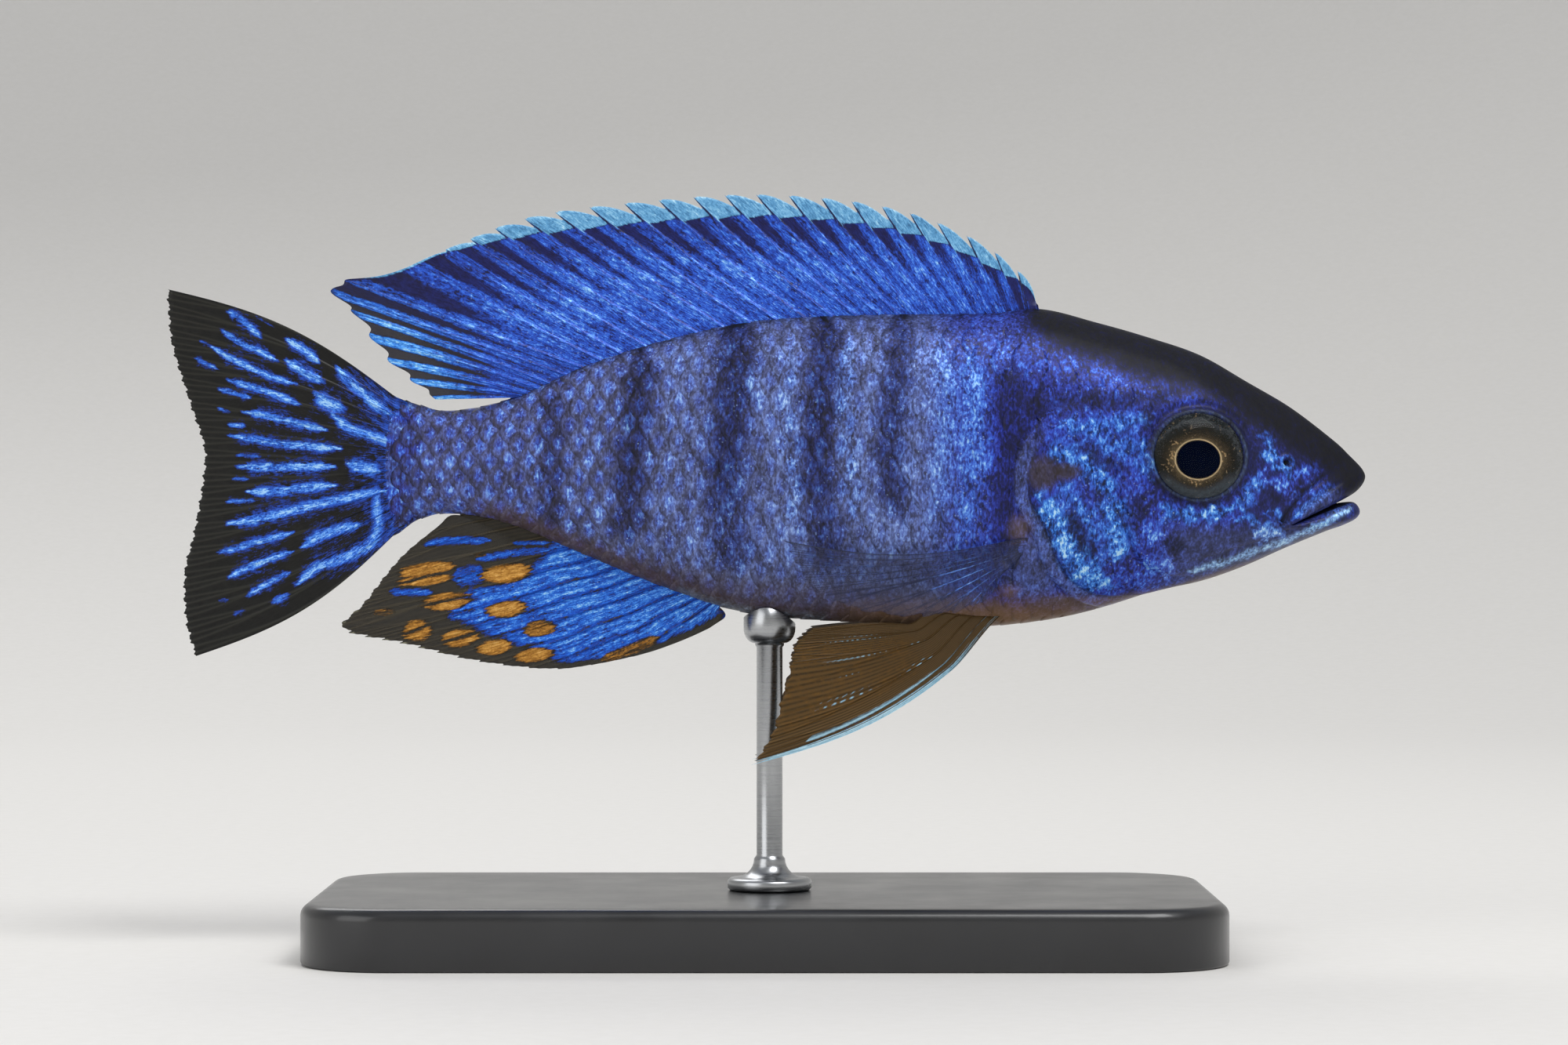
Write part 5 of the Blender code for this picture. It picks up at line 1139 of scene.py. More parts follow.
def makeAnal():
    margin = evenLine(anal["margin"])

    def base(share):
        share = share ** 1.3
        x = anal["base"][0] + (anal["base"][1] - anal["base"][0]) * share
        return np.stack([x, sectionAt(x)[:, 5]], -1)

    def cut(phase):
        # the tips of the rays stand free, further at the rear
        fringe = (1 - phase * 2 % 1) ** 1.5 * ease(phase * 2 % 1, 0.0, 0.12)
        return (0.25 + 0.5 * np.exp(-((phase - 5.5) / 2.5) ** 2)) * fringe + 0.12 * np.sin(phase * 19) ** 2

    grid = finGrid(anal["rays"], 26, 60, base, margin, lambda share: 0.69 - 1.06 * share, cut,
                   tipAt=lambda share: share ** 0.56)
    share, s, phase = grid["share"], grid["s"], grid["phase"]
    x, z = grid["place"][..., 0], grid["place"][..., 1]
    ridge = rayRidge(grid, 0.07, 0.3, 0.24, spines=anal["spines"])
    half = finShape["edgeHalf"] + (finShape["rootHalf"] - finShape["edgeHalf"]) * (1 - np.clip(s, 0, 1)) ** 2.2
    half = half + finShape["ridge"] * ridge * (1 - 0.6 * s)
    half[:, -1] = 0.05
    middle = 0.4 * s * np.sin(4.0 * share)
    wave = phase + 0.07 * np.sin(grid["along"] * 0.9 + phase)
    d = np.abs(wave - np.round(wave))
    away, side, _ = toLine(x, z, anal["blueUpTo"])
    inBlue = ease(away * side, -0.6, 1.0)
    line = np.maximum(1 - ease(d, 0.03, 0.14), 0.7 * (1 - ease(np.abs(d - 0.42), 0.02, 0.07)) * ease(s, 0.25, 0.5))
    light = np.exp(-((d - 0.3) / 0.13) ** 2) * (0.7 + 0.3 * np.cos(grid["along"] * 1.6 + np.round(wave) * 2))
    fibre = 0.5 + 0.5 * np.cos(wave * 2 * math.pi * 4)
    blue = inBlue * (0.6 + 0.2 * light + 0.08 * fibre - 0.28 * line)
    for places, width in anal["rearStreaks"]:
        blue = np.maximum(blue, 0.66 * brush(x, z, places, width, soft=0.9) * (1 - 0.35 * line))
    orange = np.zeros(np.shape(x))
    for cx, cz, rx, rz, much in anal["eggSpots"]:
        wobble = 0.9 + 0.16 * fibre + 0.08 * np.sin(3 * np.arctan2(z - cz, x - cx) + cx)
        orange = np.maximum(orange, much * spot(x, z, cx, cz, rx * wobble, rz, 0.35, 0.12))
    for places in anal["spotLines"]:
        orange = orange * (1 - 0.75 * brush(x, z, places, 0.2, soft=0.9))
    orange = np.maximum(orange, 0.6 * brush(x, z, ((-16.4, -19.0), (-13.5, -17.9), (-10.7, -16.7)), 0.5, soft=0.9))
    orange = orange * (0.72 + 0.28 * ease(d, 0.02, 0.2)) * (0.85 + 0.15 * fibre)
    border = toLine(x, z, anal["margin"])[0]
    edge = 1 - ease(border, 0.3, 0.9)
    blue = blue * (1 - ease(orange, 0.15, 0.4)) * (1 - edge)
    offset = phase * 2 % 1
    pale = 0.6 * (1 - ease(grid["away"], 0.3, 0.9)) * ease(share, 0.2, 0.35) * (1 - ease(share, 0.55, 0.8)) * ease(offset, 0.4, 0.9)
    clear = (1 - ease(blue, 0.06, 0.3)) * (1 - ease(orange, 0.1, 0.5)) * ease(s, 0.05, 0.25)
    masks = {"blue": blue, "cyan": 0.45 * light * (1 - ease(s, 0.15, 0.75)) * inBlue, "pale": pale, "orange": orange,
             "ray": 0.6 * ridge + 0.25 * fibre, "clear": clear}
    look = finSkin("anal fin skin", anal["colours"], 0.86, 0.8)
    return finPiece("fish_anal_fin", grid, middle, half, masks, look, "blue_fins", ["anal_fin"])


caudal = {
    "base": (-37.1, 7.4, -6.3),
    "rays": 16,
    "bow": 1.7,
    "margin": ((-60.0, 18.2), (-59.9, 15.7), (-59.5, 12.3), (-57.7, 6.5), (-56.4, 2.4), (-56.5, -1.0), (-57.4, -6.3),
               (-58.3, -10.2), (-58.1, -15.2), (-57.1, -18.6)),
    "streaks": (  # line, half width, strength
        (((-43.0, 10.4), (-41.8, 9.1), (-40.1, 7.6), (-38.9, 6.5), (-37.4, 5.6)), 0.5, 1),
        (((-47.9, 13.1), (-46.4, 12.2), (-44.8, 10.9)), 0.4, 1),
        (((-47.9, 11.0), (-46.4, 10.0), (-44.3, 8.9)), 0.44, 1),
        (((-45.1, 7.7), (-43.8, 6.7), (-42.3, 6.2)), 0.62, 1),
        (((-43.4, 5.7), (-41.8, 4.3), (-39.8, 3.6), (-38.1, 3.0), (-36.7, 1.9)), 0.45, 1),
        (((-53.9, 16.0), (-52.2, 14.9), (-50.6, 13.4)), 0.3, 0.95),
        (((-54.4, 14.0), (-52.4, 12.7), (-50.6, 11.9), (-49.0, 11.0)), 0.31, 1),
        (((-55.5, 12.4), (-53.3, 11.1), (-51.1, 10.1), (-48.6, 9.1), (-46.9, 8.7)), 0.29, 1),
        (((-57.2, 11.3), (-55.0, 10.2)), 0.2, 0.75), (((-56.7, 13.0), (-55.6, 12.6)), 0.12, 0.5),
        (((-53.9, 9.1), (-51.5, 8.4), (-49.3, 7.7), (-46.7, 6.6)), 0.31, 1),
        (((-54.8, 8.2), (-53.3, 7.8), (-51.7, 7.3)), 0.24, 0.85), (((-55.0, 6.3), (-53.8, 5.9)), 0.15, 0.7),
        (((-52.4, 5.9), (-50.0, 5.5), (-47.3, 4.8), (-44.0, 4.1)), 0.33, 1),
        (((-53.9, 4.6), (-52.2, 4.45)), 0.2, 0.8),
        (((-53.7, 3.5), (-51.1, 3.1), (-47.8, 2.6), (-42.5, 2.2)), 0.35, 1),
        (((-53.0, 1.5), (-50.8, 1.45)), 0.17, 0.7),
        (((-52.8, 0.4), (-50.0, 0.35), (-46.7, 0.4), (-43.2, 0.4)), 0.42, 1),
        (((-41.8, 0.75), (-40.3, 0.3), (-38.7, -0.1)), 0.62, 1),
        (((-53.5, -0.85), (-51.9, -0.85)), 0.15, 0.65),
        (((-51.9, -2.1), (-48.9, -2.1), (-46.0, -1.7), (-43.1, -1.45)), 0.4, 1),
        (((-54.1, -3.1), (-51.3, -3.0)), 0.2, 0.8),
        (((-53.9, -5.3), (-51.1, -4.9), (-47.8, -4.1), (-44.5, -3.3), (-41.6, -2.7), (-39.0, -2.1), (-37.9, -2.1)), 0.45, 1),
        (((-38.9, -2.1), (-38.9, -3.9), (-38.7, -5.6), (-39.4, -7.2), (-41.2, -8.3), (-43.4, -9.2), (-45.1, -9.8),
          (-46.9, -11.4)), 0.5, 1),
        (((-54.8, -8.2), (-52.2, -7.5), (-50.0, -6.9), (-47.3, -6.2)), 0.29, 1),
        (((-46.4, -7.7), (-44.7, -6.6), (-42.7, -5.9), (-40.5, -5.4)), 0.48, 1),
        (((-53.8, -10.7), (-51.5, -9.6), (-49.5, -8.8), (-47.4, -8.1)), 0.33, 1),
        (((-51.9, -12.6), (-50.4, -11.6), (-48.9, -10.8), (-47.6, -10.2)), 0.27, 1),
        (((-49.3, -13.2), (-47.8, -12.4)), 0.33, 0.7), (((-54.8, -13.1), (-53.9, -12.9)), 0.2, 0.4),
        (((-53.3, -14.4), (-52.2, -14.0)), 0.24, 0.4), (((-51.1, 15.5), (-49.3, 14.4)), 0.12, 0.35)),
    "colours": {"membrane": "#0f0f0e", "membrane2": "#181816", "ray": "#2e2e28", "royal": finBlue, "amber": finAmber,
                "sky": finSky},
}


def makeCaudal():
    margin = evenLine(caudal["margin"])

    def base(share):
        x, top, low = caudal["base"]
        return np.stack([x + 0 * share, top + (low - top) * share], -1)

    def cut(phase):
        # fine uneven fringe where the branches of the rays end
        return 0.1 + 0.07 * np.sin(phase * 2 * math.pi * 4) + 0.1 * np.sin(phase * 11.3) + 0.06 * np.sin(phase * 41.7)

    grid = finGrid(caudal["rays"], 24, 74, base, margin, lambda share: -caudal["bow"] * (1 - 2 * share), cut, sink=1.4)
    share, s, phase = grid["share"], grid["s"], grid["phase"]
    x, z = grid["place"][..., 0], grid["place"][..., 1]
    ridge = rayRidge(grid, 0.075, 0.25, 0.25)
    half = finShape["edgeHalf"] + (finShape["rootHalf"] - finShape["edgeHalf"]) * (1 - np.clip(s, 0, 1)) ** 2.2
    half = half + finShape["ridge"] * ridge * (1 - 0.6 * s)
    half[:, -1] = 0.05
    middle = 0.7 * s * s * np.sin(2.5 * share + 0.6)
    blue = np.zeros(np.shape(x))
    for line, width, much in caudal["streaks"]:
        blue = np.maximum(blue, 0.95 * much * brush(x, z, line, width * 1.12, soft=0.85, taper=0.16))
        blue = np.maximum(blue, 0.36 * much * brush(x, z, line, width * 2.6, soft=1.0, taper=0.2))
    root = 1 - ease(s, 0.02, 0.3)
    blue = np.maximum(blue, 0.56 * root * (0.7 + 0.3 * np.sin(x * 5 + z * 3) * np.sin(z * 2.7)))
    clear = (1 - ease(blue, 0.08, 0.3)) * ease(s, 0.1, 0.4)
    masks = {"blue": blue, "cyan": 0.32 * blue, "pale": 0 * s, "orange": 0 * s, "ray": 0.75 * ridge * ease(s, 0.1, 0.5),
             "clear": clear}
    look = finSkin("tail fin skin", caudal["colours"], 0.96, 0.85)
    return finPiece("fish_tail_fin", grid, middle, half, masks, look, "tail_fin", ["caudal_fin"])


pelvic = {
    "base": (23.3, 16.9),
    "offset": 2.2,
    "spread": 3.0,
    "rays": 6,
    "tipAt": (0, 0.05, 0.32, 0.70, 0.88, 1),
    "margin": ((-1.4, -29.2), (0.5, -26.2), (1.4, -23.0), (2.2, -20.3), (2.8, -17.4), (4.5, -15.7)),
    "colours": {"membrane": "#3a2c12", "membrane2": "#46341a", "ray": "#7d5f36", "royal": finBlue,
                "amber": ((0.0, "#43300f"), (0.4, "#63461a"), (0.65, "#775526"), (1.0, "#957042")),
                "sky": ((0.0, "#5685a0"), (0.35, "#8ab8d0"), (0.6, "#b6dae9"), (1.0, "#f0f9fc"))},
}


def makePelvics():
    margin = evenLine(pelvic["margin"])
    look = finSkin("pelvic fin skin", pelvic["colours"], 0.85, 0.5)

    def base(share):
        x = pelvic["base"][0] + (pelvic["base"][1] - pelvic["base"][0]) * share
        return np.stack([x, sectionAt(x)[:, 5]], -1)

    def cut(phase):
        ragged = 0.3 * np.sin(math.pi * (phase * 3 % 1)) ** 2 + 0.12 * np.sin(phase * 23) ** 2
        return np.where(phase < 0.5, 1.6 * np.sin(math.pi * phase * 2), 0) + ragged * ease(phase, 0.2, 0.7)

    for sign, side in ((-1, "right"), (1, "left")):
        grid = finGrid(pelvic["rays"], 56, 60, base, margin, lambda share: 2.26 - 2.72 * share, cut, sink=0.0,
                       tipAt=lambda share: np.interp(share, np.linspace(0, 1, 6), pelvic["tipAt"]))
        share, s, phase = grid["share"], grid["s"], grid["phase"]
        ridge = rayRidge(grid, 0.045, 0.15, 0.27, spines=1)
        half = finShape["edgeHalf"] + (finShape["rootHalf"] - finShape["edgeHalf"]) * (1 - np.clip(s, 0, 1)) ** 2.2
        leading = np.exp(-((phase - 0.25) / 0.25) ** 2)
        half = half + (0.14 * ridge + 0.12 * leading) * (1 - 0.6 * s)
        half[:, -1] = 0.05
        middle = pelvic["offset"] + pelvic["spread"] * np.clip(s, 0, 1) ** 1.2 + 0.5 * share
        # the root follows the belly, sunk into it
        x = grid["place"][..., 0]
        section = sectionAt(x)
        flat = np.clip(np.abs(middle) / section[..., 6], 0, 0.98) ** (2 / body["bellyPinch"])
        belly = section[..., 3] - (section[..., 3] - section[..., 5]) * np.sqrt(1 - flat)
        lift = (belly + 0.5 - section[..., 5]) * (1 - ease(s, 0.0, 0.22))
        grid["place"][..., 1] += lift
        # two pale stripes on the first rays, beaded pale lines on the others, fine branches all over
        edge = np.maximum(np.exp(-((phase - 0.26) / 0.36) ** 4), 0.85 * np.exp(-((phase - 1.0) / 0.16) ** 2) * (s < 0.8))
        edge = edge * (0.4 + 0.6 * ease(s, 0.05, 0.45)) * (1 - 0.7 * np.exp(-((phase - 0.44) / 0.05) ** 2) * (s < 0.8))
        edge = edge * (0.85 + 0.15 * np.cos(phase * 2 * math.pi * 6))
        dots = 0.5 + 0.5 * np.cos(grid["along"] * 2 * math.pi / 0.55 + np.round(phase) * 1.7)
        lines = 0 * s
        for number, much in ((2.0, 0.9), (2.12, 0.7), (2.6, 0.5), (3.0, 1.0), (3.8, 0.9), (4.0, 0.7)):
            lines = np.maximum(lines, much * dots * np.exp(-((phase - number) / 0.035) ** 2) * ease(s, 0.12, 0.3))
        lines = lines * (0.7 + 0.3 * np.sin(grid["along"] * 0.7 + phase * 2))
        threads = (0.5 + 0.5 * np.cos(phase * 2 * math.pi * 9)) * (0.6 + 0.4 * ease(s, 0.1, 0.6))
        amber = (0.34 + 0.14 * threads) * ease(phase, 1.1, 1.8) * (1 - ease(phase, 3.4, 4.7)) * ease(s, 0.05, 0.35)
        masks = {"blue": 0.12 * np.exp(-((phase - 0.7) / 0.12) ** 2) * ease(s, 0.3, 0.6), "cyan": 0 * s,
                 "pale": np.maximum(edge, lines * (1 - ease(s, 0.8, 1))), "orange": amber, "ray": 0.6 * threads,
                 "clear": ease(s, 0.1, 0.4) * (1 - np.clip(edge, 0, 1)) * (0.55 + 0.45 * ease(phase, 1.5, 4))}
        finPiece("fish_pelvic_fin_" + side, grid, middle, half, masks, look, "amber_fins", ["pelvic_fin_" + side], sign)


pectoral = {
    "top": (25.4, -6.7),
    "bottom": (24.6, -9.8),
    "rays": 13,
    "spread": 2.2,
    "tipAt": (0, 0.11, 0.25, 0.62, 0.92, 1),
    "margin": ((1.9, -7.0), (3.4, -10.6), (6.6, -13.0), (11.3, -14.3), (16.0, -14.5), (20.7, -13.5), (23.3, -11.4)),
    "colours": {"membrane": "#2f3452", "membrane2": "#40425c", "ray": "#1a1f3c",
                "royal": ((0.0, "#20263e"), (0.3, "#32406e"), (0.5, "#4d66aa"), (0.75, "#7593d2"), (1.0, "#a9c4ef")),
                "amber": ((0.0, "#4a3522"), (0.5, "#80603c"), (1.0, "#b08a5c")), "sky": finSky},
}


def makePectorals():
    margin = evenLine(pectoral["margin"])
    look = finSkin("pectoral fin skin", pectoral["colours"], 0.22, 0.6)

    def base(share):
        top, bottom = np.array(pectoral["top"]), np.array(pectoral["bottom"])
        return top + (bottom - top) * share[:, None]

    def cut(phase):
        return 0.35 * np.sin(math.pi * (phase * 2 % 1)) ** 2 + 0.5 * np.sin(phase * 3.7) ** 2

    for sign, side in ((-1, "right"), (1, "left")):
        grid = finGrid(pectoral["rays"], 16, 50, base, margin, lambda share: 1.5 - 2.4 * share, cut, sink=0.6,
                       tipAt=lambda share: np.interp(share, np.linspace(0, 1, 6), pectoral["tipAt"]))
        share, s, phase = grid["share"], grid["s"], grid["phase"]
        ridge = rayRidge(grid, 0.08, 0.4, 0.22, spines=1)
        x, z = grid["place"][..., 0], grid["place"][..., 1]
        skin = halfWidth(x, np.maximum(z, -8.0))
        t = np.clip(s, 0, 1)
        middle = skin + 0.2 + 0.4 * ease(s, 0.0, 0.2) - 0.8 * (1 - ease(s, -0.02, 0.14)) + pectoral["spread"] * t ** 1.6
        half = 0.08 + 0.3 * (1 - t) ** 4 + 0.08 * ridge * (1 - 0.5 * t)
        half[:, -1] = 0.03
        # painted sheen: a blue sheen laid onto the clear fin in two soft patches
        paintedSheen = np.maximum(spot(x, z, 19.8, -10.4, 3.4, 2.4, 0.8), 0.5 * spot(x, z, 8.6, -9.6, 4.0, 1.0, 0.9))
        fringe = np.exp(-(phase / 0.2) ** 2)
        lines = ease(ridge, 0.3, 0.8)
        pale = 0.5 * fringe * ease(s, 0.05, 0.3) * (phase > 0.12)
        blue = np.clip(0.8 * paintedSheen * (0.25 + 0.75 * lines), 0, 1)
        blue = np.maximum(blue, 0.42 * lines * (1 - ease(s, 0.15, 0.45)))
        orange = 0.3 * (1 - ease(s, 0.04, 0.16)) * (1 - ease(share, 0.1, 0.5))
        clear = ease(s, -0.05, 0.1) * (1 - 0.65 * lines * (1 - 0.5 * ease(s, 0.5, 1))) * (1 - 0.6 * fringe)
        clear = clear * (1 - 0.15 * (1 - ease(s, 0.15, 0.5)))
        masks = {"blue": blue, "cyan": 0.3 * paintedSheen, "pale": pale, "orange": orange, "ray": 0.9 * lines, "clear": clear}
        finPiece("fish_pectoral_fin_" + side, grid, middle, half, masks, look, "clear_fins", ["pectoral_fin_" + side], sign)


# eyes

eye = {
    "place": (43.43, 1.5),
    "radius": 4.5,
    "bulge": 1.5,
    "pupilRadius": 2.05,
    "pupilShift": (-0.3, -0.5),
    "flatness": 0.945,     # height over length
    "around": 128,
}
irisColours = ((0.0, "#5c4e3a"), (0.22, "#3c352a"), (0.45, "#292621"), (0.72, "#262727"), (0.9, "#43474a"), (1.0, "#1a1b1a"))


def latheGrid(profile, sides):
    # profile as (radius, height) rows; points row by row and quads, closed at both poles by tiny rings
    turn = np.linspace(0, 2 * math.pi, sides, endpoint=False)
    profile = np.array(profile, float)
    r, h = profile[:, 0][:, None], profile[:, 1][:, None]
    return np.stack([r * np.cos(turn), r * np.sin(turn), h + 0 * turn], -1)


def makeEyes():
    iris, tree, shader = newMaterial("iris", Roughness=0.4, IOR=1.05)
    # iris: olive brown pigment, gold crystals by the pupil; it lies in water behind the cornea, so it has no gloss, and
    # a bluish grey reflection is painted on it near its top and bottom
    mask = {key: add(tree, "Attribute", out="Fac", attribute_name=key) for key in ("depth", "gold", "slate", "ring", "pupil")}
    uneven, fine = pigment(tree)
    level = add(tree, "Math", {0: uneven, 1: 0.35, 2: mask["depth"]}, operation="MULTIPLY_ADD")
    colour = add(tree, "ValToRGB", {0: level}, stops=irisColours)
    # painted reflection: slate grey mixed in near the top and the bottom of the iris
    slate = add(tree, "Math", {0: uneven, 1: 0.5, 2: mask["slate"]}, operation="MULTIPLY_ADD", use_clamp=True)
    slate = add(tree, "Math", {0: slate, 1: mask["slate"]}, operation="MULTIPLY")
    colour = add(tree, "Mix", {0: slate, 6: colour, 7: "#4d545c"}, 2, data_type="RGBA")
    gold = add(tree, "Math", {0: uneven, 1: 1.1, 2: mask["gold"]}, operation="MULTIPLY_ADD")
    gold = add(tree, "MapRange", {"Value": gold, "From Min": 0.4, "From Max": 0.85})
    colour = add(tree, "Mix", {0: gold, 6: colour, 7: "#b3946a"}, 2, data_type="RGBA")
    colour = add(tree, "Mix", {0: mask["ring"], 6: colour, 7: "#e2c79a"}, 2, data_type="RGBA")
    colour = add(tree, "Mix", {0: mask["pupil"], 6: colour, 7: "#010618"}, 2, data_type="RGBA")
    tree.links.new(colour, shader.inputs["Base Color"])
    rough = add(tree, "Math", {0: 1.0, 1: mask["pupil"]}, operation="SUBTRACT")
    rough = add(tree, "Math", {0: fine, 1: rough}, operation="MULTIPLY")
    bump = add(tree, "Bump", {"Height": rough, "Strength": 0.5, "Distance": 0.02 * mm})
    tree.links.new(bump, shader.inputs["Normal"])

    cornea, tree, shader = newMaterial("cornea", Roughness=0.02, IOR=1.12, Transmission_Weight=1.0)
    # cornea: clear and wet; under water it hardly throws light back, so its IOR is kept below the 1.38 it has in air
    haze = add(tree, "TexNoise", {"Vector": add(tree, "TexCoord", out="Object"), "Scale": 1 / (3.0 * mm)})
    tree.links.new(add(tree, "Mix", {0: haze, 6: "#eef3f5", 7: "#ffffff"}, 2, data_type="RGBA"), shader.inputs["Base Color"])

    ex, ez = fromView(*eye["place"])
    normal = sideNormal(np.array([ex]), np.array([ez]))[0]
    flat = float(halfWidth(np.array([ex]), np.array([ez]))[0])
    R = eye["radius"]
    for sign, side in ((-1, "right"), (1, "left")):
        facing = Vector((normal[0], sign * normal[1], normal[2]))
        place = Vector((ex, sign * flat, ez)) - facing * 0.25
        # axes of the eye: up and forwards in its own plane
        up = Vector((0, 0, 1))
        up = (up - facing * up.dot(facing)).normalized()
        ahead = up.cross(facing) * (1 if sign < 0 else -1)
        if ahead.x < 0:
            ahead = -ahead

        def lay(grid):
            flatGrid = grid.reshape(-1, 3)
            return np.array([place + ahead * p[0] + up * p[1] * eye["flatness"] + facing * p[2] for p in flatGrid])

        def bodyOf(name, profile, look, masks=None):
            grid = latheGrid(profile, eye["around"])
            faces = gridFaces(len(profile), eye["around"], closed=True)
            if sign > 0:
                faces = faces[:, ::-1]
            made = buildMesh(name, lay(grid), faces, masks(grid) if masks else None, None, look)
            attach(made, "root")
            return made

        # iris: a shallow dish that closes round the pupil, and the white of the eye behind it
        pr = eye["pupilRadius"]
        profile = [(R * math.sin(t), -3.6 * math.cos(t) + 0.0) for t in np.linspace(0.004, math.pi / 2, 24)]
        profile += [(R * math.cos(t), 1.0 * math.sin(t)) for t in np.linspace(0.06, 1.02, 40)]
        profile += [(k, 0.86 + 0.1 * (k / pr)) for k in np.linspace(R * math.cos(1.02), 0.01, 30)[1:]]

        def irisMasks(grid):
            x, z, h = grid[..., 0], grid[..., 1], grid[..., 2]
            front = h > 0.02
            px, pz = x - eye["pupilShift"][0], z - eye["pupilShift"][1]
            away = np.hypot(px / 1.1, pz)
            turn = np.arctan2(pz, px)
            depth = np.clip((away - pr) / (R * 0.97 - pr), 0, 1)
            spread = np.exp(-((away - pr - 0.4) / 0.55) ** 2)
            places = sum(np.exp(-(np.angle(np.exp(1j * (turn - c))) / w) ** 2) * m
                         for c, w, m in ((0.05, 0.4, 0.9), (math.pi - 0.1, 0.5, 1.0), (-1.6, 0.5, 0.7), (2.3, 0.4, 0.35)))
            return {"depth": np.where(front, depth, 1), "gold": front * np.clip(0.5 * spread * places, 0, 1),
                    # painted reflection: slate grey, faint near the top and stronger near the bottom
                    "slate": front * (0.3 * ease(z, 1.2, 3.6) + 0.8 * ease(-z, 1.0, 2.8)) * ease(away, pr + 0.4, pr + 1.3),
                    "ring": front * np.exp(-((away - pr - 0.04) / 0.05) ** 2),
                    "pupil": front * (1 - ease(away, pr - 0.1, pr - 0.01))}

        ball = bodyOf("fish_eye_" + side, profile, iris, irisMasks)
        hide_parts("eye_" + side)
        # clear front, filled down to the iris and closed behind it
        outer = [(R * 1.0 * math.cos(t), eye["bulge"] * math.sin(t) + 0.02) for t in np.linspace(0.02, math.pi / 2 - 0.003, 40)]
        back = [(outer[0][0], -0.2), (R * 0.6, -0.3), (0.01, -0.3)]
        bodyOf("fish_cornea_" + side, back[::-1] + outer, cornea)
        print("eye", side)


# stand

stand = {
    "length": 90.0, "width": 46.0, "thickness": 6.0, "corner": 9.0, "edgeRound": 1.2,
    "rodX": 0.4, "rodRadius": 1.3, "footRadius": 4.2, "footHeight": 3.0, "cupRadius": 2.6, "cupDepth": 2.2,
}


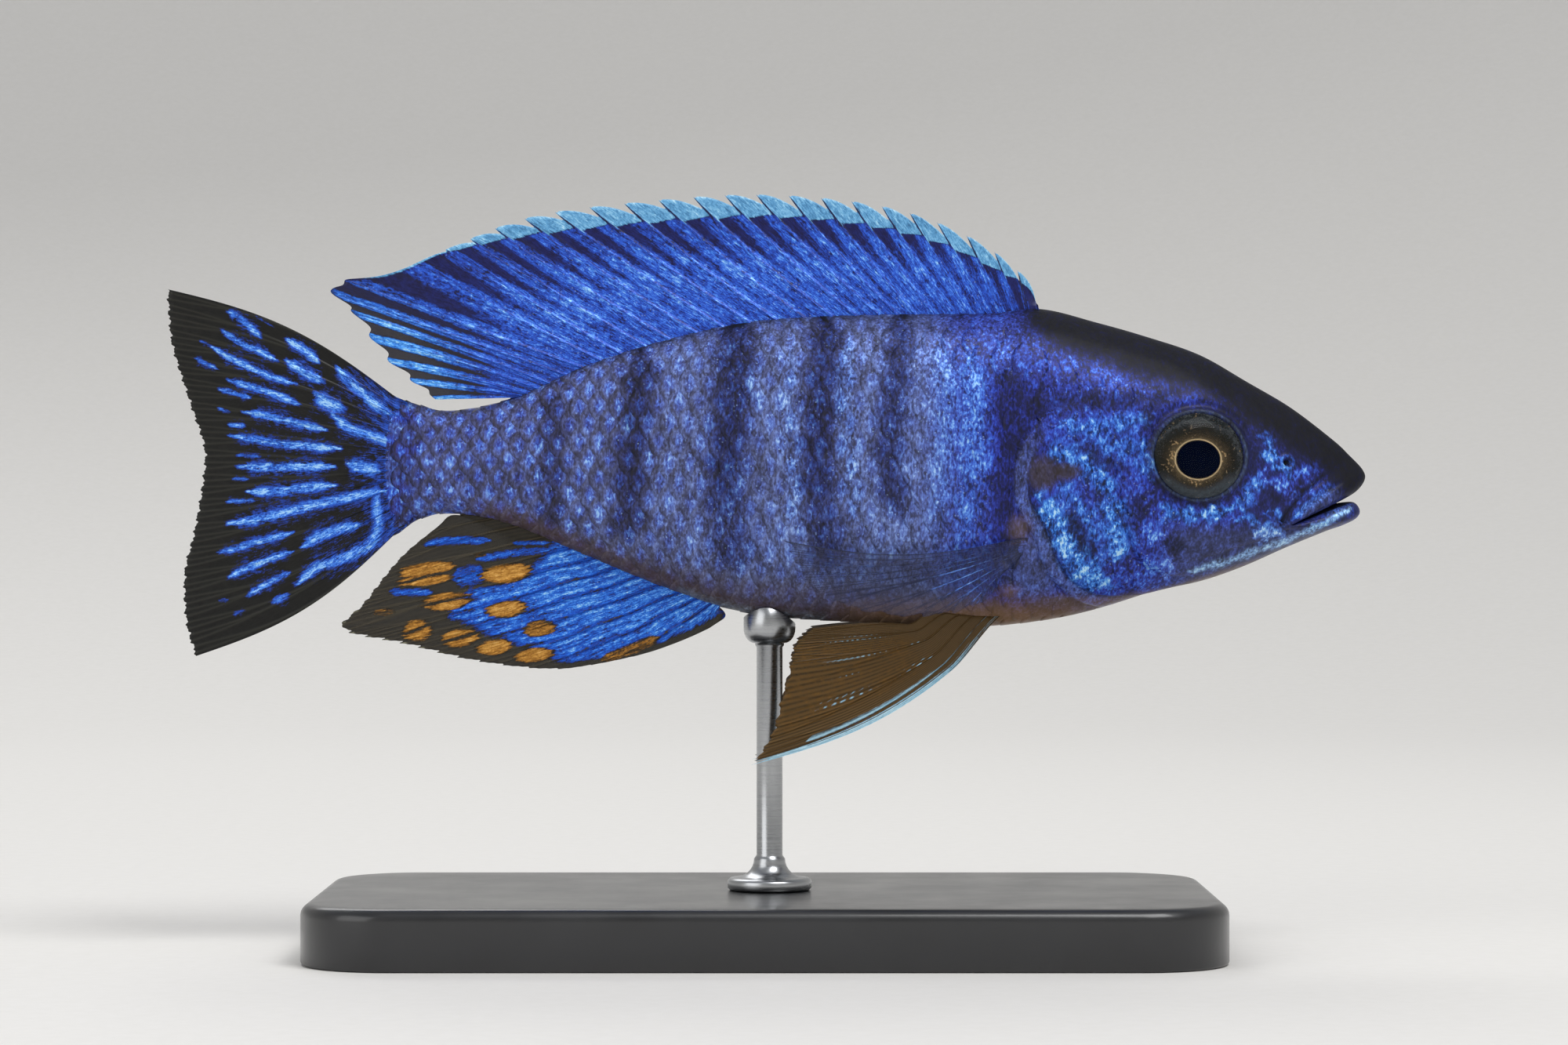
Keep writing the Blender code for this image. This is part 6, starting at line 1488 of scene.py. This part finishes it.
def makeStand():
    lacquer, tree, shader = newMaterial("satin lacquer", Roughness=0.34, IOR=1.5, Coat_Weight=0.4, Coat_Roughness=0.15)
    # satin lacquer sprayed on a machined plate: an even black with a faint orange-peel in its gloss
    place = add(tree, "TexCoord", out="Object")
    peel = add(tree, "TexNoise", {"Vector": place, "Scale": 1 / (0.9 * mm), "Detail": 2.0})
    wear = add(tree, "TexNoise", {"Vector": place, "Scale": 1 / (8.0 * mm), "Detail": 4.0})
    tree.links.new(add(tree, "Mix", {0: wear, 6: "#121214", 7: "#222326"}, 2, data_type="RGBA"), shader.inputs["Base Color"])
    rough = add(tree, "MapRange", {"Value": wear, "From Min": 0.3, "From Max": 0.7, "To Min": 0.28, "To Max": 0.42})
    tree.links.new(rough, shader.inputs["Roughness"])
    tree.links.new(add(tree, "Bump", {"Height": peel, "Strength": 0.6, "Distance": 0.012 * mm}), shader.inputs["Normal"])
    steel, tree, shader = newMaterial("turned steel", Roughness=0.26, Metallic=1.0)
    # turned and polished steel: fine rings round the rod that draw its highlight out sideways
    place = add(tree, "TexCoord", out="Object")
    spread = add(tree, "Mapping", {"Vector": place, "Scale": (20.0, 20.0, 1 / (0.3 * mm))})
    rings = add(tree, "TexNoise", {"Vector": spread, "Scale": 1.0, "Detail": 1.0})
    tree.links.new(add(tree, "Mix", {0: rings, 6: "#97999c", 7: "#b9bbbd"}, 2, data_type="RGBA"), shader.inputs["Base Color"])
    tree.links.new(add(tree, "MapRange", {"Value": rings, "To Min": 0.2, "To Max": 0.36}), shader.inputs["Roughness"])
    tree.links.new(add(tree, "Bump", {"Height": rings, "Strength": 0.4, "Distance": 0.01 * mm}), shader.inputs["Normal"])

    floor = -axisHeight
    top = floor + stand["thickness"]
    edge = stand["edgeRound"]
    rings = [(floor, 0.35), (floor + 0.12, 0.1), (floor + 0.35, 0.0)]
    rings += [(top - edge + edge * math.sin(t), edge * (1 - math.cos(t))) for t in np.linspace(0, math.pi / 2, 9)]
    rings += [(top, inset) for inset in (2.5, 5.0, 9.0, 14.0, 22.0)]
    rings = [(floor, inset) for inset in (22.0, 9.0, 2.0)] + rings
    outline = []
    for height, inset in rings:
        length, width = stand["length"] - 2 * inset, stand["width"] - 2 * inset
        corner = max(stand["corner"] - inset, 0.6)
        row = []
        for quarter, (sx, sy) in enumerate(((1, 1), (-1, 1), (-1, -1), (1, -1))):
            for t in np.linspace(0, math.pi / 2, 17) + quarter * math.pi / 2:
                row.append((sx * (length / 2 - corner) + corner * math.cos(t),
                            sy * (width / 2 - corner) + corner * math.sin(t), height))
        outline.append(row)
    outline = np.array(outline)
    columns = outline.shape[1]
    faces = gridFaces(len(outline), columns, closed=True)
    caps = []
    for ring, upward in ((0, False), (len(outline) - 1, True)):
        for k in range(columns // 2 - 1):
            quad = (ring * columns + k, ring * columns + k + 1, ring * columns + columns - k - 2,
                    ring * columns + columns - k - 1)
            caps.append(quad if upward else quad[::-1])
    plate = buildMesh("stand_plate", outline, np.concatenate([faces, caps]), None, None, lacquer)
    settle(plate, "stand_plate", "stand_base")

    # foot, rod and cup as one turned piece, its top hollowed to the belly
    x = stand["rodX"]
    belly = float(sectionAt(np.array([x]))[0, 5])
    r, low = stand["rodRadius"], top + 0.02
    cupLow = belly - 0.3 - stand["cupDepth"]
    profile = [(0.01, low), (stand["footRadius"] - 0.25, low), (stand["footRadius"], low + 0.25),
               (stand["footRadius"], low + 0.95), (stand["footRadius"] - 0.25, low + 1.2)]
    profile += [(r + 0.25 + (stand["footRadius"] - 0.7 - r - 0.25) * (1 - math.sin(t)), low + 1.25 + 1.9 * (1 - math.cos(t)))
                for t in np.linspace(0, math.pi / 2, 9)]
    profile += [(r + 0.12, low + 3.3), (r, low + 3.5), (r, (low + cupLow) / 2), (r, cupLow - 0.5), (r + 0.15, cupLow - 0.3)]
    profile += [(r + 0.15 + (stand["cupRadius"] - r - 0.15) * math.sin(t), cupLow - 0.1 + 1.5 * (1 - math.cos(t)))
                for t in np.linspace(0, math.pi / 2, 8)]
    profile += [(stand["cupRadius"], belly - 0.45), (stand["cupRadius"] - 0.08, belly - 0.3),
                (stand["cupRadius"] - 0.25, belly - 0.24), (1.2, belly - 0.24), (0.01, belly - 0.24)]
    grid = latheGrid(profile, 64)
    flat = grid.reshape(-1, 3)
    hollow = flat[:, 2] > belly - 0.5
    section = sectionAt(flat[:, 0] + x)
    share = np.clip(np.abs(flat[:, 1]) / section[:, 6], 0, 1) ** (2 / body["bellyPinch"])
    under = section[:, 3] - (section[:, 3] - section[:, 5]) * np.sqrt(1 - share)
    flat[:, 2] += np.where(hollow, under - belly, 0)
    flat[:, 0] += x
    turned = buildMesh("stand_support", flat, gridFaces(len(profile), 64, closed=True), None, None, steel)
    settle(turned, "stand_metal", "stand_foot", "stand_rod", "stand_cup")
    print("stand")


# floor, light and camera

studio = {
    "paper": ("#e4e2de", "#eae8e5"),
    "flat": 0.45,          # radius in metres of the flat part of the floor
    "radius": 1.35,
    "height": 1.0,
    "lights": {            # watts, size and place in metres
        "key": (5.0, 0.45, (0.30, -0.42, 0.82)),
        "fill": (1.8, 0.60, (-0.60, -0.50, 0.35)),
        "rim": (1.3, 0.40, (-0.20, 0.50, 0.55)),
    },
    "sky": 0.42,
    "lens": 100.0,
}


def makeStudio():
    paper, tree, shader = newMaterial("matt paper", Roughness=0.92)
    # seamless matt paper, even, with a faint fibre
    fibre = add(tree, "TexNoise", {"Vector": add(tree, "TexCoord", out="Object"), "Scale": 1 / (1.8 * mm), "Detail": 3.0})
    shade = add(tree, "Mix", {0: fibre, 6: studio["paper"][0], 7: studio["paper"][1]}, 2, data_type="RGBA")
    tree.links.new(shade, shader.inputs["Base Color"])
    flat, reach, height = studio["flat"] * 1000, studio["radius"] * 1000, studio["height"] * 1000
    profile = [(0.01, 0.0), (flat / 3, 0.0), (flat * 2 / 3, 0.0), (flat, 0.0)]
    profile += [(flat + (reach - flat) * math.sin(t), height * (1 - math.cos(t))) for t in np.linspace(0.05, math.pi / 2, 30)]
    grid = latheGrid(profile, 96).reshape(-1, 3)
    grid[:, 2] -= axisHeight
    floor = buildMesh("studio_floor", grid, gridFaces(len(profile), 96, closed=True)[:, ::-1], None, None, paper)

    world = bpy.data.worlds.new("studio")
    bpy.context.scene.world = world
    world.use_nodes = True
    world.node_tree.nodes["Background"].inputs["Color"].default_value = linear("#f2f5fa")
    world.node_tree.nodes["Background"].inputs["Strength"].default_value = studio["sky"]

    for name, (power, size, place) in studio["lights"].items():
        light = bpy.data.lights.new(name, "AREA")
        light.energy = power
        light.size = size
        made = bpy.data.objects.new(name, light)
        made.location = place
        aim = Vector((0.0, 0.0, 0.045)) - Vector(place)
        made.rotation_euler = aim.to_track_quat("-Z", "Y").to_euler()
        bpy.context.scene.collection.objects.link(made)

    camera = bpy.data.cameras.new("camera")
    camera.lens = studio["lens"]
    camera.sensor_width = 36.0
    made = bpy.data.objects.new("camera", camera)
    made.location = (view["acrossX"] * mm, -view["distance"] * mm, (axisHeight + view["level"]) * mm)
    made.rotation_euler = (math.pi / 2, 0, 0)
    bpy.context.scene.collection.objects.link(made)
    bpy.context.scene.camera = made
    bpy.context.scene.view_settings.view_transform = "Standard"
    bpy.context.scene.view_settings.look = "None"
    print("studio")


makeStudio()
makeSkin()
makeScales()
makeDorsal()
makeAnal()
makeCaudal()
makePelvics()
makePectorals()
makeEyes()
makeStand()
